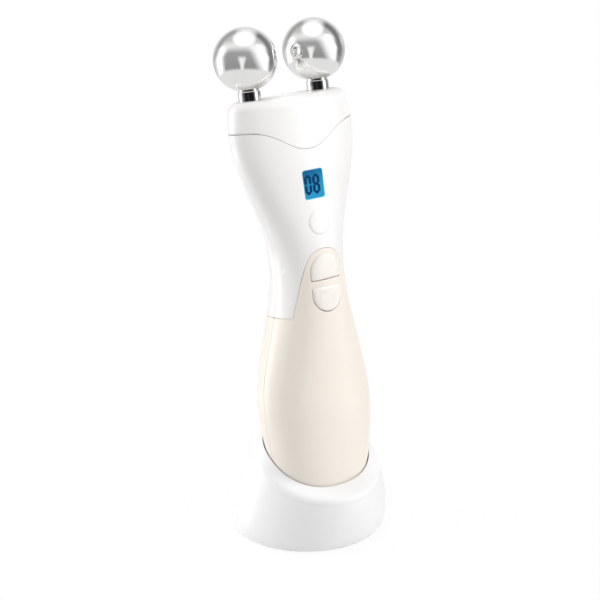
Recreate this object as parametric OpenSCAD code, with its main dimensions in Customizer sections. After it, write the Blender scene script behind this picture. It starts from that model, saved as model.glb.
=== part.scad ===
// Two-ball facial toning device standing in its charging cradle.
// Millimetres. The origin is the middle of the cradle's footprint, on the table.
// +Z is up and -Y is the front, the side with the display and the keys.
// The handset is drawn in its own upright frame, with its lower end at z = 0,
// and in_handset() then leans it back into the cradle's well.

/* [Handset body] */
// Widest point of the grip, across
grip_width = 44.8; // [42:0.2:46]
// Height of that widest point
grip_z = 40; // [38:1:42]
// Narrowest point of the waist, across
waist_width = 26.9; // [26.5:0.1:29]
// Height of the waist
waist_z = 92; // [90:1:94]
// Widest point of the head, across
head_width = 51; // [49:0.5:53]
// Height of the head's widest point
shoulder_z = 144; // [142:1:146]
// Height of the flat top of the head
head_top_z = 155.6; // [155:0.1:157]
// Wall thickness of the moulded shells
wall = 1.6; // [1.4:0.1:1.8]
// Width of the parting grooves between shells
groove = 0.24; // [0.16:0.02:0.3]

/* [Electrodes] */
// Diameter of each chromed ball
ball_diameter = 23; // [22:0.5:24]
// Distance between the two ball centres
ball_spacing = 29.8; // [29:0.2:31]
// Height of the ball centres above the flat top
ball_lift = 14.7; // [14.2:0.1:15.4]
// Diameter of the neck under each ball
neck_diameter = 8.2; // [7.6:0.2:8.6]

/* [Controls] */
// Display window, across
window_width = 8.8; // [8.4:0.2:9.2]
// Display window, up and down
window_height = 10.6; // [10:0.2:11]
// Diameter of the power button
power_diameter = 8.8; // [8.4:0.2:9]
// Width of the two intensity keys
key_width = 12.4; // [12:0.2:12.6]
// Travel of the power button and the keys
press_travel = 0.4; // [0.3:0.05:0.4]

/* [Cradle] */
// Diameter of the cradle at the table
cradle_diameter = 58.6; // [58:0.2:60]
// Backward lean of the docked handset, in degrees
lean = 10.9; // [10:0.1:12]
// Height of the well's edge above the origin
rim_z = 37.2; // [36.5:0.1:38]
// Rise of the well's edge for each millimetre towards the back
rim_slope = 0.63; // [0.58:0.01:0.66]
// Gap between the handset and the well
well_gap = 0.4; // [0.35:0.05:0.6]

/* [Hidden] */
$fn = 48;

white = "#F4F3F1";
cream = "#F3EAE0";
steel = "#B9BBBD";
chrome = "#D9DCDE";
brass = "#C8A860";
board_green = "#1F5A3C";
dark_plastic = "#2E3033";
rubber_grey = "#8A8C8F";
thin = 0.1;                          // stand-off between pieces that lie side by side

// Where the docked handset stands on the cradle
dock_y = -15.1;
dock_z = 12;

// Sections of the handset
corner = 2.3;                        // exponent of the superellipse section: 2 is an ellipse
toe_reach = 47;                      // how far below the widest point the sides would close
back_reach = 52;                     // the same for the back
front_grip = 11.6;                   // front surface in front of the handset's axis, at the grip
front_waist = 14.4;                  // at the waist
front_face = 12.8;                   // at the display
front_top = 11.8;                    // at the top edge
front_toe = 4.9;                     // how far the front runs in towards the lower end
back_grip = 18.4;                    // back surface behind the axis, at the grip
back_neck = 6.8;                     // behind the display
back_top = 8.4;                      // at the top edge
face_z = 128;                        // height where the front becomes straight
neck_z = 126;                        // height where the back is nearest
top_half = 22.9;                     // half width at the flat top
top_round = 3.6;                     // radius round the flat top
toe_round = 3;                       // radius round the lower end

// Parting lines
seam_low = 136.5;                    // head seam at the middle of the front
seam_rise = 8.4;                     // how much higher it is at the sides
seam_spread = 0.45;                  // sine of the angle that its dip in the middle reaches
side_seam = 76;                      // white to cream seam at the sides and back
tongue_rise = 24.2;                  // height of the cream tongue over that seam
tongue_angle = 54;                   // half angle of the tongue at its foot
tongue_bend = 2.2;                   // shape of the tongue's round top
tongue_fall = 0.7;                   // and of its steep sides
cap_seam = 7;                        // seam between the grip and the end cap

// Layers of the electronics, as distances along Y
board_front = -8.2;
board_thick = 1.2;
chassis_front = -6;
chassis_thick = 1.6;
chassis_back = chassis_front + chassis_thick;
board_back = board_front + board_thick;
board_half = 9.2;
board_low = 76;
board_high = 133.2;
flange_back = -10.65;                // back of the button's and the keys' flanges
flange_thick = 0.5;
switch_top = flange_back + press_travel + 0.05;
switch_body = 0.5;                   // from a switch's plunger tip to its body
post_x = 7;                          // posts that carry the board
post_z = [79, 130.5];
post_r = 2;

// Controls
window_z = 123.6;
window_corner = 0.9;
power_z = 109.7;
key_r = key_width / 2;
key_straight = 2.9;                  // straight part of a key's outline
key_gap_z = 87.45;                   // middle of the bar between the keys
key_bar = 2.9;                       // height of that bar
key_up_z = key_gap_z + key_bar / 2;
key_down_z = key_gap_z - key_bar / 2;
key_proud = 0.3;
key_crown = 21.3;                    // radius of the keys' surface, as the grip's front
key_switch = 4.2;                    // switch distance from a key's straight edge
button_gap = 0.15;                   // gap round the button and the keys

// Chassis
chassis_low = 12;
bracket_half = 3;
bracket_z = cap_seam + 3.4;
slot_half = 4.4;                     // slot for the leads, under the board
slot_z = 76;
slot_height = 3.4;
saddle_half = 7.8;
saddle_thick = 3;
saddle_z = [20, 54];

// Lower end
contact_r = 2;
end_screw_low = 0.1;                 // how deep the screw heads lie in the end cap
end_screw_y = [-0.6, 5.6];
end_screw_length = 9;
end_pillar_r = 2.4;
end_pillar = 5;

// Display, chips and buzzer
cell_width = 9.4;
cell_height = 11.4;
cell_front = -10.9;
cell_back = -9.8;
holder_rim = 1.2;
buzzer_z = 112;
buzzer_r = 4.6;
buzzer_thick = 2.6;

// Leads
lead_r = 0.45;
lead_sides = 8;

// Battery and head interface
battery_r = 7;
battery_length = 50;
battery_low = 14;
battery_y = 3.4;
socket_z = 134.2;
socket_thick = 1.4;
collar_half = 15;
collar_depth = 6;
collar_y = -3;
collar_top = 144;
collar_wall = 1.6;
plug_gap = 0.2;
plug_wall = 1.4;
seal_width = 1.4;
seal_thick = 1;
plug_low = 136.4;
flange_z = 149.1;
flange_t = 1.4;
strip_x = 8;
strip_thick = 0.4;
contact_pin_r = 0.85;
contact_pin_y = collar_y + thin + contact_pin_r;

// Electrodes
ball_r = ball_diameter / 2;
ball_x = ball_spacing / 2;
ball_y = -0.7;
ball_z = head_top_z + ball_lift;
neck_r = neck_diameter / 2;
neck_top = ball_z - sqrt(ball_r * ball_r - neck_r * neck_r);
shank_r = 2;
spigot_r = 1.9;
spigot_length = 3;
ball_wall = 2.4;
top_under = head_top_z - wall;       // underside of the head's flat top
round_z = head_top_z - top_round;    // where the rounding of the head's top edge starts
under_round = top_round - wall;      // radius of that rounding on the inside
washer_r = 3.8;
washer_t = 0.5;
nut_t = 2.2;
nut_r = 3.6;
shank_end = top_under - washer_t - strip_thick - nut_t;

// Cradle
cradle_r = cradle_diameter / 2;
cradle_curve = 158;                  // the wall's radius shrinks by height squared over this
cradle_shift = 0.9;                  // the wall's centre at the table, behind the origin
cradle_lean = 0.366;                 // how fast that centre moves forward with height
cradle_return = 0.0097;              // and how it comes back
cradle_wall = 2;
skirt_z = 0.5;                       // lower edge of the shell above the table
lip_drop = 4.8;                      // height of the lip, from its foot on the wall to the well's edge
lip_round = 2.4;                     // how far the rounding of its outer corner reaches
well_floor = -0.2;                   // the well's floor in the handset's frame
plate_low = 0.7;
plate_thick = 2;
plate_high = plate_low + plate_thick;
plate_r = 26.9;
plate_y = 0.3;
screw_r = 1.1;
screw_head_r = 2;
screw_head_t = 0.9;
screw_socket_r = 0.6;
foot_out = 25.6;
foot_in = 19;
foot_sunk = 0.5;                     // depth of the groove that holds the foot ring
foot_top = plate_low + foot_sunk;
pin_x = 5.6;
pin_y = 2.5;
pin_r = 0.8;
barrel_r = 1.5;
barrel_low = -8;
pin_top = -0.1;                     // tip of a charge pin, just under the handset's contact
pin_low = -3.8;
inlet_mouth = 26.4;                  // mouth of the power inlet, behind the origin
inlet_nose = 4;
inlet_depth = 12;
inlet_bore = 2.85;
inlet_pin = 1;
inlet_pin_length = 8;
inlet_half = 4.4;
bosses = [[16, 15, 20], [22.5, -5, 22]];  // across, back and top of each pair of screw bosses
boss_r = 2.5;
weight_thick = 2.6;
weight_r = 18.6;
weight_back = 6;
circuit_low = 4;                     // underside of the cradle's circuit board
circuit_half = 10;
circuit_front = 8;
circuit_back = 22.5;
inlet_z = circuit_low + board_thick + inlet_half;

// Columns of points round the handset; they crowd where the tongue's edge is steep
front_steps = [for (b = [0, 6, 12, 18, 24, 30, 36, 42, 45, 48, 50.4, 52.4, 53.5, 54, 60, 66, 72, 81, 90]) b];
front_angles = concat([for (i = [len(front_steps) - 1 : -1 : 1]) -front_steps[i]], front_steps);
back_angles = [for (b = [90 : 7.5 : 270]) b];
round_angles = [for (b = [0 : 6 : 354]) b];
body_rows = 13;
cap_rows = 5;

function clamp01(u) = min(max(u, 0), 1);
function ease(from, to, u) = from + (to - from) * (1 - cos(180 * clamp01(u))) / 2;
function bow(v) = sign(v) * pow(abs(v), 2 / corner);
function closing(depth, reach) = sqrt(max(0, 1 - pow(depth / reach, 2)));

// Half width, front and back of the handset at height z
function half_width(z) =
    z < grip_z ? grip_width / 2 * closing(grip_z - z, toe_reach)
    : z < waist_z ? ease(grip_width / 2, waist_width / 2, (z - grip_z) / (waist_z - grip_z))
    : z < shoulder_z ? ease(waist_width / 2, head_width / 2, (z - waist_z) / (shoulder_z - waist_z))
    : ease(head_width / 2, top_half, (z - shoulder_z) / (1.6 * (head_top_z - shoulder_z)));
function front_at(z) =
    z < grip_z ? front_grip - front_toe * pow((grip_z - z) / grip_z, 1.3)
    : z < waist_z ? ease(front_grip, front_waist, (z - grip_z) / (waist_z - grip_z))
    : z < face_z ? ease(front_waist, front_face, (z - waist_z) / (face_z - waist_z))
    : ease(front_face, front_top, (z - face_z) / (1.3 * (head_top_z - face_z)));
function back_at(z) =
    z < grip_z ? back_grip * closing(grip_z - z, back_reach)
    : z < neck_z ? ease(back_grip, back_neck, (z - grip_z) / (neck_z - grip_z))
    : ease(back_neck, back_top, (z - neck_z) / (head_top_z - neck_z));

// Rounding of the two ends: how far the skin has come in at height z
function round_in(r, into) = into <= 0 ? 0 : r - sqrt(max(0, r * r - into * into));
function end_round(z) = round_in(top_round, z - head_top_z + top_round) + round_in(toe_round, toe_round - z);

// A point of the handset's skin at height z and angle a from the front, moved in by inset
function skin(z, a, inset = 0) =
    let (
        f = front_at(z),
        b = back_at(z),
        side = half_width(z) - inset - end_round(z),
        depth = (f + b) / 2 - inset - end_round(z)
    ) [side * bow(sin(a)), (b - f) / 2 - depth * bow(cos(a)), z];

// Half width of the hollow inside the shells at height z and depth y, less a gap
function hollow_half(z, y, gap) =
    let (
        f = front_at(z) - wall - gap,
        b = back_at(z) - wall - gap,
        side = half_width(z) - wall - gap,
        off = abs(y - (b - f) / 2) / ((f + b) / 2)
    ) side * pow(max(0, 1 - pow(off, corner)), 1 / corner);

// Parting lines as heights round the handset
function head_seam(a) = seam_low + seam_rise * (1 - exp(-pow(sin(a) / seam_spread, 2)));
function off_front(a) = a > 180 ? 360 - a : abs(a);
function grip_seam(a) =
    let (u = min(off_front(a) / tongue_angle, 1))
    side_seam + tongue_rise * pow(1 - pow(u, tongue_bend), tongue_fall);

// A grid of skin points, from the heights low[i] to high[i] over the given angles
function skin_grid(angles, low, high, rows, inset) =
    [for (r = [0 : rows]) [for (i = [0 : len(angles) - 1])
        skin(low[i] + (high[i] - low[i]) * r / rows, angles[i], inset)]];

function flat_list(grid) = [for (row = grid) for (p = row) p];

// A closed solid between two grids of points that have the same rows and columns.
// wrap joins the last column to the first; cap_low and cap_high close an end with a flat face.
module sheet(outer, inner, wrap = true, cap_low = false, cap_high = false) {
    rows = len(outer);
    cols = len(outer[0]);
    far = rows * cols;
    last = wrap ? cols - 1 : cols - 2;
    function at(i, j) = i * cols + j % cols;
    function up(i, j) = far + at(i, j);
    skins = [for (i = [0 : rows - 2]) for (j = [0 : last]) each [
        [at(i, j), at(i + 1, j), at(i + 1, j + 1), at(i, j + 1)],
        [up(i, j), up(i, j + 1), up(i + 1, j + 1), up(i + 1, j)]]];
    low_edge = cap_low
        ? [[for (j = [0 : cols - 1]) at(0, j)], [for (j = [cols - 1 : -1 : 0]) up(0, j)]]
        : [for (j = [0 : last]) [at(0, j), at(0, j + 1), up(0, j + 1), up(0, j)]];
    top = rows - 1;
    high_edge = cap_high
        ? [[for (j = [cols - 1 : -1 : 0]) at(top, j)], [for (j = [0 : cols - 1]) up(top, j)]]
        : [for (j = [0 : last]) [at(top, j + 1), at(top, j), up(top, j), up(top, j + 1)]];
    side_edges = wrap ? [] : [for (i = [0 : rows - 2]) each [
        [at(i + 1, 0), at(i, 0), up(i, 0), up(i + 1, 0)],
        [at(i, cols - 1), at(i + 1, cols - 1), up(i + 1, cols - 1), up(i, cols - 1)]]];
    polyhedron(concat(flat_list(outer), flat_list(inner)),
        concat(skins, low_edge, high_edge, side_edges), convexity = 8);
}

module in_handset() {
    translate([0, dock_y, dock_z]) rotate([-lean, 0, 0]) children();
}

// A piece of shell between two heights given for each angle
module shell_piece(angles, low, high, wrap = false) {
    sheet(skin_grid(angles, low, high, body_rows, 0), skin_grid(angles, low, high, body_rows, wall), wrap);
}

// A prism whose outline is drawn in X and Z, from y = near to y = far
module facing(near, far) {
    translate([0, far, 0]) rotate([90, 0, 0]) linear_extrude(far - near) children();
}

// A straight round bar along Y
module bar_y(r, near, far) {
    translate([0, far, 0]) rotate([90, 0, 0]) cylinder(r = r, h = far - near);
}

module rounded_box_outline(w, h, r) {
    square([w - 2 * r, h], center = true);
    square([w, h - 2 * r], center = true);
    for (x = [-1, 1], z = [-1, 1])
        translate([x * (w / 2 - r), z * (h / 2 - r)]) circle(r);
}

// Outline of a key: a straight edge at z = 0 and a round end; grow widens it all round
module key_outline(grow = 0) intersection() {
    union() {
        translate([-key_r - grow, -grow]) square([key_width + 2 * grow, key_straight + grow]);
        translate([0, key_straight]) circle(key_r + grow);
    }
    translate([-key_width, -grow]) square(2 * key_width);
}

module key_places() {
    translate([0, key_up_z]) children();
    mirror([0, 1, 0]) translate([0, -key_down_z]) children();
}

// Section of the hollow at height z, less a gap
module hollow_outline(z, gap) {
    polygon([for (a = round_angles) let (p = skin(z, a, wall + gap)) [p[0], p[1]]]);
}

// ---- Handset shells ----

module front_shell() color(white) in_handset() difference() {
    shell_piece(front_angles, [for (a = front_angles) grip_seam(a) + groove / 2],
        [for (a = front_angles) head_seam(a) - groove / 2]);
    facing(-20, -9) translate([0, window_z])
        rounded_box_outline(window_width + groove, window_height + groove, window_corner);
    translate([0, 0, power_z]) bar_y(power_diameter / 2 + button_gap, -20, -9);
}

module rear_shell() color(white) in_handset()
    shell_piece(back_angles, [for (a = back_angles) grip_seam(a) + groove / 2],
        [for (a = back_angles) head_seam(a) - groove / 2]);

module grip_front_shell() color(cream) in_handset() difference() {
    shell_piece(front_angles, [for (a = front_angles) cap_seam + groove / 2],
        [for (a = front_angles) grip_seam(a) - groove / 2]);
    facing(-20, -9) key_places() key_outline(button_gap);
}

module grip_rear_shell() color(cream) in_handset()
    shell_piece(back_angles, [for (a = back_angles) cap_seam + groove / 2],
        [for (a = back_angles) grip_seam(a) - groove / 2]);

// The lower end of the grip, with the two charge contacts and the two screws set into it
module end_cap() color(cream) in_handset() difference() {
    low = [for (a = round_angles) 0];
    high = [for (a = round_angles) cap_seam - groove / 2];
    floor_in = [for (a = round_angles) wall];
    sheet(skin_grid(round_angles, low, high, cap_rows, 0),
        skin_grid(round_angles, floor_in, high, cap_rows, wall), true, cap_low = true);
    for (x = [-pin_x, pin_x]) translate([x, pin_y, -1]) cylinder(r = contact_r + thin / 2, h = 4);
    for (y = end_screw_y) translate([0, y, -1]) {
        cylinder(r = screw_head_r + thin, h = 1 + end_screw_low + screw_head_t);
        cylinder(r = screw_r + thin, h = 4);
    }
}

module end_cap_screws() color(steel) in_handset()
    for (y = end_screw_y) translate([0, y, end_screw_low]) difference() {
        union() {
            cylinder(r = screw_head_r, h = screw_head_t);
            cylinder(r = screw_r, h = end_screw_length);
        }
        translate([0, 0, -1]) cylinder(r = screw_socket_r, h = 1.6, $fn = 6);
    }

// ---- Handset inside ----

// A flat frame behind the board, cut to the hollow, with saddles for the battery
module chassis() color(dark_plastic) in_handset() {
    heights = [for (i = [0 : 20]) chassis_low + (socket_z - thin - chassis_low) * i / 20];
    outline = concat(
        [for (z = heights) [hollow_half(z, chassis_front, 0.3), z]],
        [for (i = [len(heights) - 1 : -1 : 0]) [-hollow_half(heights[i], chassis_front, 0.3), heights[i]]]);
    difference() {
        union() {
            facing(chassis_front, chassis_back) polygon(outline);
            for (z = saddle_z) translate([-saddle_half, chassis_back, z])
                cube([2 * saddle_half, battery_y - chassis_back, saddle_thick]);
            for (x = [-1, 1], z = post_z)
                translate([x * post_x, 0, z]) bar_y(post_r, board_back, chassis_front + thin);
            for (y = end_screw_y) translate([0, y, cap_seam]) cylinder(r = end_pillar_r, h = end_pillar);
            translate([-bracket_half, chassis_front, bracket_z])
                cube([2 * bracket_half, end_screw_y[1] - chassis_front, chassis_low + 0.5 - bracket_z]);
        }
        translate([0, battery_y, battery_low - 1])
            cylinder(r = battery_r + thin, h = battery_length + 2);
        for (x = [-1, 1], z = post_z)
            translate([x * post_x, 0, z]) bar_y(0.7, board_back - 1, chassis_front + 1);
        for (y = end_screw_y) translate([0, y, 0]) cylinder(r = screw_r + thin / 2, h = end_screw_length + 2);
        translate([-slot_half, chassis_front - 1, slot_z]) cube([2 * slot_half, chassis_thick + 2, slot_height]);
    }
}

module main_board() color(board_green) in_handset() difference() {
    facing(board_front, board_back) translate([0, (board_low + board_high) / 2])
        rounded_box_outline(2 * board_half, board_high - board_low, 1.5);
    for (x = [-1, 1], z = post_z) translate([x * post_x, 0, z]) bar_y(0.85, board_front - 1, board_back + 1);
}

module board_screws() color(steel) in_handset()
    for (x = [-1, 1], z = post_z) translate([x * post_x, 0, z]) {
        bar_y(0.65, board_front - thin, chassis_front + 0.4);
        bar_y(1.2, board_front - 0.7, board_front);
    }

// Controller, driver and transformer on the back of the board
module board_chips() color(dark_plastic) in_handset() {
    chips = [[-3.2, 120, 7, 7], [4.6, 119, 5, 4], [0, 104, 10, 8], [-4, 90, 5, 6], [4, 88, 4, 4]];
    for (c = chips) translate([c[0] - c[2] / 2, board_back, c[1] - c[3] / 2]) cube([c[2], 0.8, c[3]]);
}

module tact_switches() color(dark_plastic) in_handset()
    for (z = [power_z, key_up_z + key_switch, key_down_z - key_switch]) translate([0, 0, z]) {
        facing(switch_top + switch_body, board_front) square(4.4, center = true);
        bar_y(1.5, switch_top, switch_top + switch_body);
    }

module display_window() color("#3B8FC4") in_handset()
    facing(-front_at(window_z) + 0.08, -front_at(window_z) + 1.5) translate([0, window_z])
        rounded_box_outline(window_width, window_height, window_corner - 0.1);

module display_cell() color("#12506E") in_handset()
    facing(cell_front, cell_back) translate([0, window_z]) square([cell_width, cell_height], center = true);

module display_backlight() color("#1795CE") in_handset()
    facing(cell_back, board_front) translate([0, window_z]) square([cell_width, cell_height], center = true);

module display_holder() color(dark_plastic) in_handset() difference() {
    facing(cell_front, board_front) translate([0, window_z])
        square([cell_width + 2 * holder_rim, cell_height + 1.5 * holder_rim], center = true);
    facing(cell_front - 1, board_front + 1) translate([0, window_z])
        square([cell_width + thin, cell_height + thin], center = true);
}

module battery_cell() color("#3C6E9C") in_handset() translate([0, battery_y, battery_low]) {
    cylinder(r = battery_r, h = battery_length);
    cylinder(r = 2.6, h = battery_length + 1.2);
}

// A lead swept along points, with a ring of corners at each one, square to the way it runs there
function unit(v) = v / norm(v);
function lead_ring(points, i, r) =
    let (
        n = len(points) - 1,
        way = unit(points[min(i + 1, n)] - points[max(i - 1, 0)]),
        across = unit(cross(way, [0.31, 0.95, 0.07])),
        over = cross(way, across)
    ) [for (k = [0 : lead_sides - 1]) let (t = 360 * k / lead_sides)
        points[i] + r * (across * cos(t) + over * sin(t))];
module lead(points, r) {
    n = len(points) - 1;
    rings = [for (i = [0 : n]) each lead_ring(points, i, r)];
    function at(i, k) = i * lead_sides + k % lead_sides;
    polyhedron(rings, concat(
        [for (i = [0 : n - 1]) for (k = [0 : lead_sides - 1])
            [at(i, k), at(i + 1, k), at(i + 1, k + 1), at(i, k + 1)]],
        [[for (k = [0 : lead_sides - 1]) at(0, k)]],
        [[for (k = [lead_sides - 1 : -1 : 0]) at(n, k)]]));
}

module battery_leads() color("#B03A34") in_handset() {
    for (s = [-1, 1])
        lead([[s * 1.5, battery_y, 65.3], [s * 1.5, battery_y - 0.3, 68], [s * 1.5, 1.4, 71.5],
            [s * 1.5, -1.4, 74.8], [s * 1.5, -3.8, 77], [s * 1.5, -5.6, 77.9], [s * 1.5, -6.9, 78]], lead_r);
}

module charge_contacts() color(brass) in_handset()
    for (x = [-pin_x, pin_x]) translate([x, pin_y, 0]) {
        cylinder(r = contact_r, h = wall + 0.3);
        cylinder(r = contact_r * 0.5, h = wall + 1.4);
    }

module charge_leads() color("#303236") in_handset()
    for (s = [-1, 1])
        lead([[s * pin_x, pin_y, 3.1], [s * 5.8, pin_y, 5], [s * 7.2, pin_y, 9], [s * 8.3, pin_y, 13],
            [s * 8.5, pin_y, 19], [s * 8.5, pin_y, 57], [s * 8, 1.6, 63], [s * 6, -0.6, 69],
            [s * 4.4, -2.8, 74], [s * 3.5, -4.4, 77.2], [s * 3.4, -5.7, 77.9], [s * 3.4, -6.9, 78]], lead_r);

module buzzer() color("#1E1F21") in_handset() translate([0, 0, buzzer_z]) {
    bar_y(buzzer_r, chassis_back, chassis_back + buzzer_thick);
    bar_y(0.8, chassis_back + buzzer_thick - thin, chassis_back + buzzer_thick + 0.3);
}

// ---- Head interface on the handset ----

module collar_outline(inset) translate([0, collar_y])
    rounded_box_outline(2 * (collar_half - inset), 2 * (collar_depth - inset), 2.4 - inset / 2);

module head_socket() color(dark_plastic) in_handset() {
    difference() {
        translate([0, 0, socket_z]) linear_extrude(socket_thick) hollow_outline(socket_z, 0.25);
        for (x = [-strip_x, strip_x])
            translate([x, contact_pin_y, socket_z - 1]) cylinder(r = contact_pin_r + thin / 2, h = 4);
    }
    translate([0, 0, socket_z + socket_thick]) linear_extrude(collar_top - socket_z - socket_thick) difference() {
        collar_outline(0);
        collar_outline(collar_wall);
    }
}

module socket_seal() color(rubber_grey) in_handset()
    translate([0, 0, socket_z + socket_thick]) linear_extrude(seal_thick) difference() {
        intersection() {
            collar_outline(-seal_width);
            hollow_outline(socket_z + socket_thick + seal_thick, 0.25);
        }
        collar_outline(-thin);
    }

// Two pins that reach up into the head and meet its contact strips
module head_contact_pins() color(brass) in_handset()
    for (x = [-strip_x, strip_x]) translate([x, contact_pin_y, socket_z - 0.4]) {
        cylinder(r = contact_pin_r, h = 7.4);
        translate([0, 0, 7.4]) sphere(r = contact_pin_r);
    }

// ---- Controls ----

// The dome is a slice of a large ball; the flange behind keeps the button in
module power_button() color(white) in_handset() translate([0, 0, power_z]) {
    dome_r = 19;
    crown = -front_at(power_z) - 0.35;
    intersection() {
        bar_y(power_diameter / 2, crown - 1, flange_back - thin);
        translate([0, crown + dome_r, 0]) sphere(r = dome_r);
    }
    bar_y(power_diameter / 2 + 0.6, flange_back - flange_thick, flange_back);
}

// A key as it stands above its straight edge; the lower one is its mirror image
module key_body(edge_z, way) {
    crown = -front_at(key_gap_z) - key_proud;
    intersection() {
        facing(crown - 1, flange_back - thin) translate([0, edge_z]) turned(way) key_outline();
        translate([0, crown + key_crown, edge_z - 20]) cylinder(r = key_crown, h = 40, $fn = 96);
    }
    facing(flange_back - flange_thick, flange_back) translate([0, edge_z]) turned(way) key_outline(0.45);
}

module turned(way) {
    if (way > 0) children();
    else mirror([0, 1, 0]) children();
}

module key_up() color(cream) in_handset() key_body(key_up_z, 1);

module key_down() color(cream) in_handset() key_body(key_down_z, -1);

// ---- Head ----

module head_shell() color(white) in_handset() difference() {
    low = [for (a = round_angles) head_seam(a) + groove / 2];
    edge = [for (a = round_angles) round_z];
    outer = concat(skin_grid(round_angles, low, edge, 5, 0),
        [for (u = [18 : 18 : 90]) [for (a = round_angles) skin(head_top_z - top_round * (1 - sin(u)), a, 0)]]);
    inner = concat(skin_grid(round_angles, low, edge, 5, wall),
        [for (u = [18 : 18 : 90]) let (rise = under_round * sin(u)) [for (a = round_angles)
            skin(round_z, a, wall + round_in(under_round, rise)) + [0, 0, rise]]]);
    sheet(outer, inner, true, cap_high = true);
    for (x = [-ball_x, ball_x]) translate([x, ball_y, top_under - 1]) cylinder(r = shank_r + 0.15, h = 4);
}

// Floor of the head with the tongue that enters the handset's collar
module head_plug() color(dark_plastic) in_handset() difference() {
    union() {
        translate([0, 0, flange_z]) linear_extrude(flange_t) hollow_outline(flange_z, 0.3);
        translate([0, 0, plug_low]) linear_extrude(flange_z - plug_low) difference() {
            collar_outline(collar_wall + plug_gap);
            collar_outline(collar_wall + plug_gap + plug_wall);
        }
    }
    for (x = [-strip_x, strip_x])
        translate([x - 1.8, collar_y - 0.6, flange_z - 1]) cube([3.6, 0.8, flange_t + 2]);
}

// A hollow ball, cut flat where it stands on its neck, with a hole for the neck's spigot
module electrode_ball(side) color(chrome) in_handset() translate([side * ball_x, ball_y, ball_z])
    difference() {
        sphere(r = ball_r, $fn = 96);
        sphere(r = ball_r - ball_wall, $fn = 96);
        translate([0, 0, -ball_r - 1]) cylinder(r = ball_r, h = neck_top - ball_z + ball_r + 1);
        translate([0, 0, -ball_r - 1]) cylinder(r = spigot_r + 0.03, h = ball_r);
    }

// Collar, waist groove under the ball, spigot up into the ball and shank down through the head
module electrode_neck(side) color(chrome) in_handset() translate([side * ball_x, ball_y, 0]) {
    lip = 0.35;
    rotate_extrude() polygon([
        [0, shank_end], [shank_r, shank_end], [shank_r, head_top_z], [neck_r, head_top_z],
        [neck_r, neck_top - 2 * lip], [neck_r - lip, neck_top - lip], [neck_r - lip, neck_top],
        [spigot_r, neck_top], [spigot_r, neck_top + spigot_length], [0, neck_top + spigot_length]]);
}

module electrode_washers() color(rubber_grey) in_handset()
    for (x = [-ball_x, ball_x]) translate([x, ball_y, top_under - washer_t]) difference() {
        cylinder(r = washer_r, h = washer_t);
        translate([0, 0, -1]) cylinder(r = shank_r + 0.1, h = washer_t + 2);
    }

module electrode_nuts() color(steel) in_handset()
    for (x = [-ball_x, ball_x]) translate([x, ball_y, shank_end]) difference() {
        cylinder(r = nut_r, h = nut_t, $fn = 6);
        translate([0, 0, -1]) cylinder(r = shank_r + 0.02, h = nut_t + 2);
    }

// Ring terminal round each shank, with a blade down through the plug
module contact_strips() color(brass) in_handset()
    for (s = [-1, 1]) {
        ring_z = top_under - washer_t - strip_thick;
        difference() {
            union() {
                translate([s * ball_x, ball_y, ring_z]) cylinder(r = washer_r - 0.2, h = strip_thick);
                translate([s > 0 ? strip_x - 1.6 : -ball_x, ball_y - 1.6, ring_z])
                    cube([ball_x - strip_x + 1.6, 3.2, strip_thick]);
            }
            translate([s * ball_x, ball_y, ring_z - 1]) cylinder(r = shank_r + 0.1, h = strip_thick + 2);
        }
        translate([s * strip_x - 1.6, collar_y - 0.4, ring_z]) cube([3.2, ball_y - collar_y + 0.4, strip_thick]);
        translate([s * strip_x - 1.6, collar_y - 0.4, plug_low + 0.4])
            cube([3.2, strip_thick, ring_z + strip_thick - plug_low - 0.4]);
    }

// ---- Cradle ----

function wall_r(z) = cradle_r - z * z / cradle_curve;
function wall_y(z) = cradle_shift - cradle_lean * z + cradle_return * z * z;
function wall_point(z, a, inset) = let (r = wall_r(z) - inset) [r * sin(a), wall_y(z) - r * cos(a), z];

// The handset's frame to the cradle's
function docked(p) = [p[0], dock_y + p[1] * cos(lean) + p[2] * sin(lean),
    dock_z - p[1] * sin(lean) + p[2] * cos(lean)];
function well_point(z, a, out) = docked(skin(max(z, toe_round), a, -out) + [0, 0, min(z - toe_round, 0)]);

// Height on the handset where its surface meets the slanted rim, by repeated substitution
function rim_height(a, z = 20, turns = 6) =
    turns == 0 ? z
    : let (y = skin(max(z, toe_round), a, -well_gap)[1])
        rim_height(a, (rim_z + rim_slope * (dock_y + y * cos(lean)) - dock_z + y * sin(lean))
            / (cos(lean) - rim_slope * sin(lean)), turns - 1);

// Lip at a given angle: u runs from 0 to 1 round its outer corner, then to 2 up its slanted band
function lip_point(u, foot, edge) =
    let (
        corner = foot + [0, 0, lip_round],
        start = corner + (edge - corner) * min(lip_round / norm(edge - corner), 0.5)
    ) u > 1 ? start + (edge - start) * (u - 1)
    : foot * (1 - u) * (1 - u) + corner * 2 * u * (1 - u) + start * u * u;

// Outer skin: up the wall, over the lip and down the well to its floor
function cradle_outer() =
    let (
        edge = [for (a = round_angles) well_point(rim_height(a), a, well_gap)],
        top = [for (e = edge) e[2] - lip_drop],
        n = len(round_angles) - 1
    ) concat(
        [for (u = [0, 0.5]) [for (a = round_angles)
            wall_point(skirt_z + u, a, round_in(1, 1 - u))]],
        [for (u = [1 : 8]) [for (i = [0 : n])
            wall_point(skirt_z + 1 + (top[i] - skirt_z - 1) * (u - 1) / 7, round_angles[i], 0)]],
        [for (u = [0.25, 0.5, 0.75, 1, 1.5, 2]) [for (i = [0 : n])
            lip_point(u, wall_point(top[i], round_angles[i], 0), edge[i])]],
        [for (u = [1 : 6]) [for (i = [0 : n])
            let (a = round_angles[i], high = rim_height(a))
            well_point(high + (well_floor - high) * u / 6, a, well_gap)]]
    );

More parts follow.
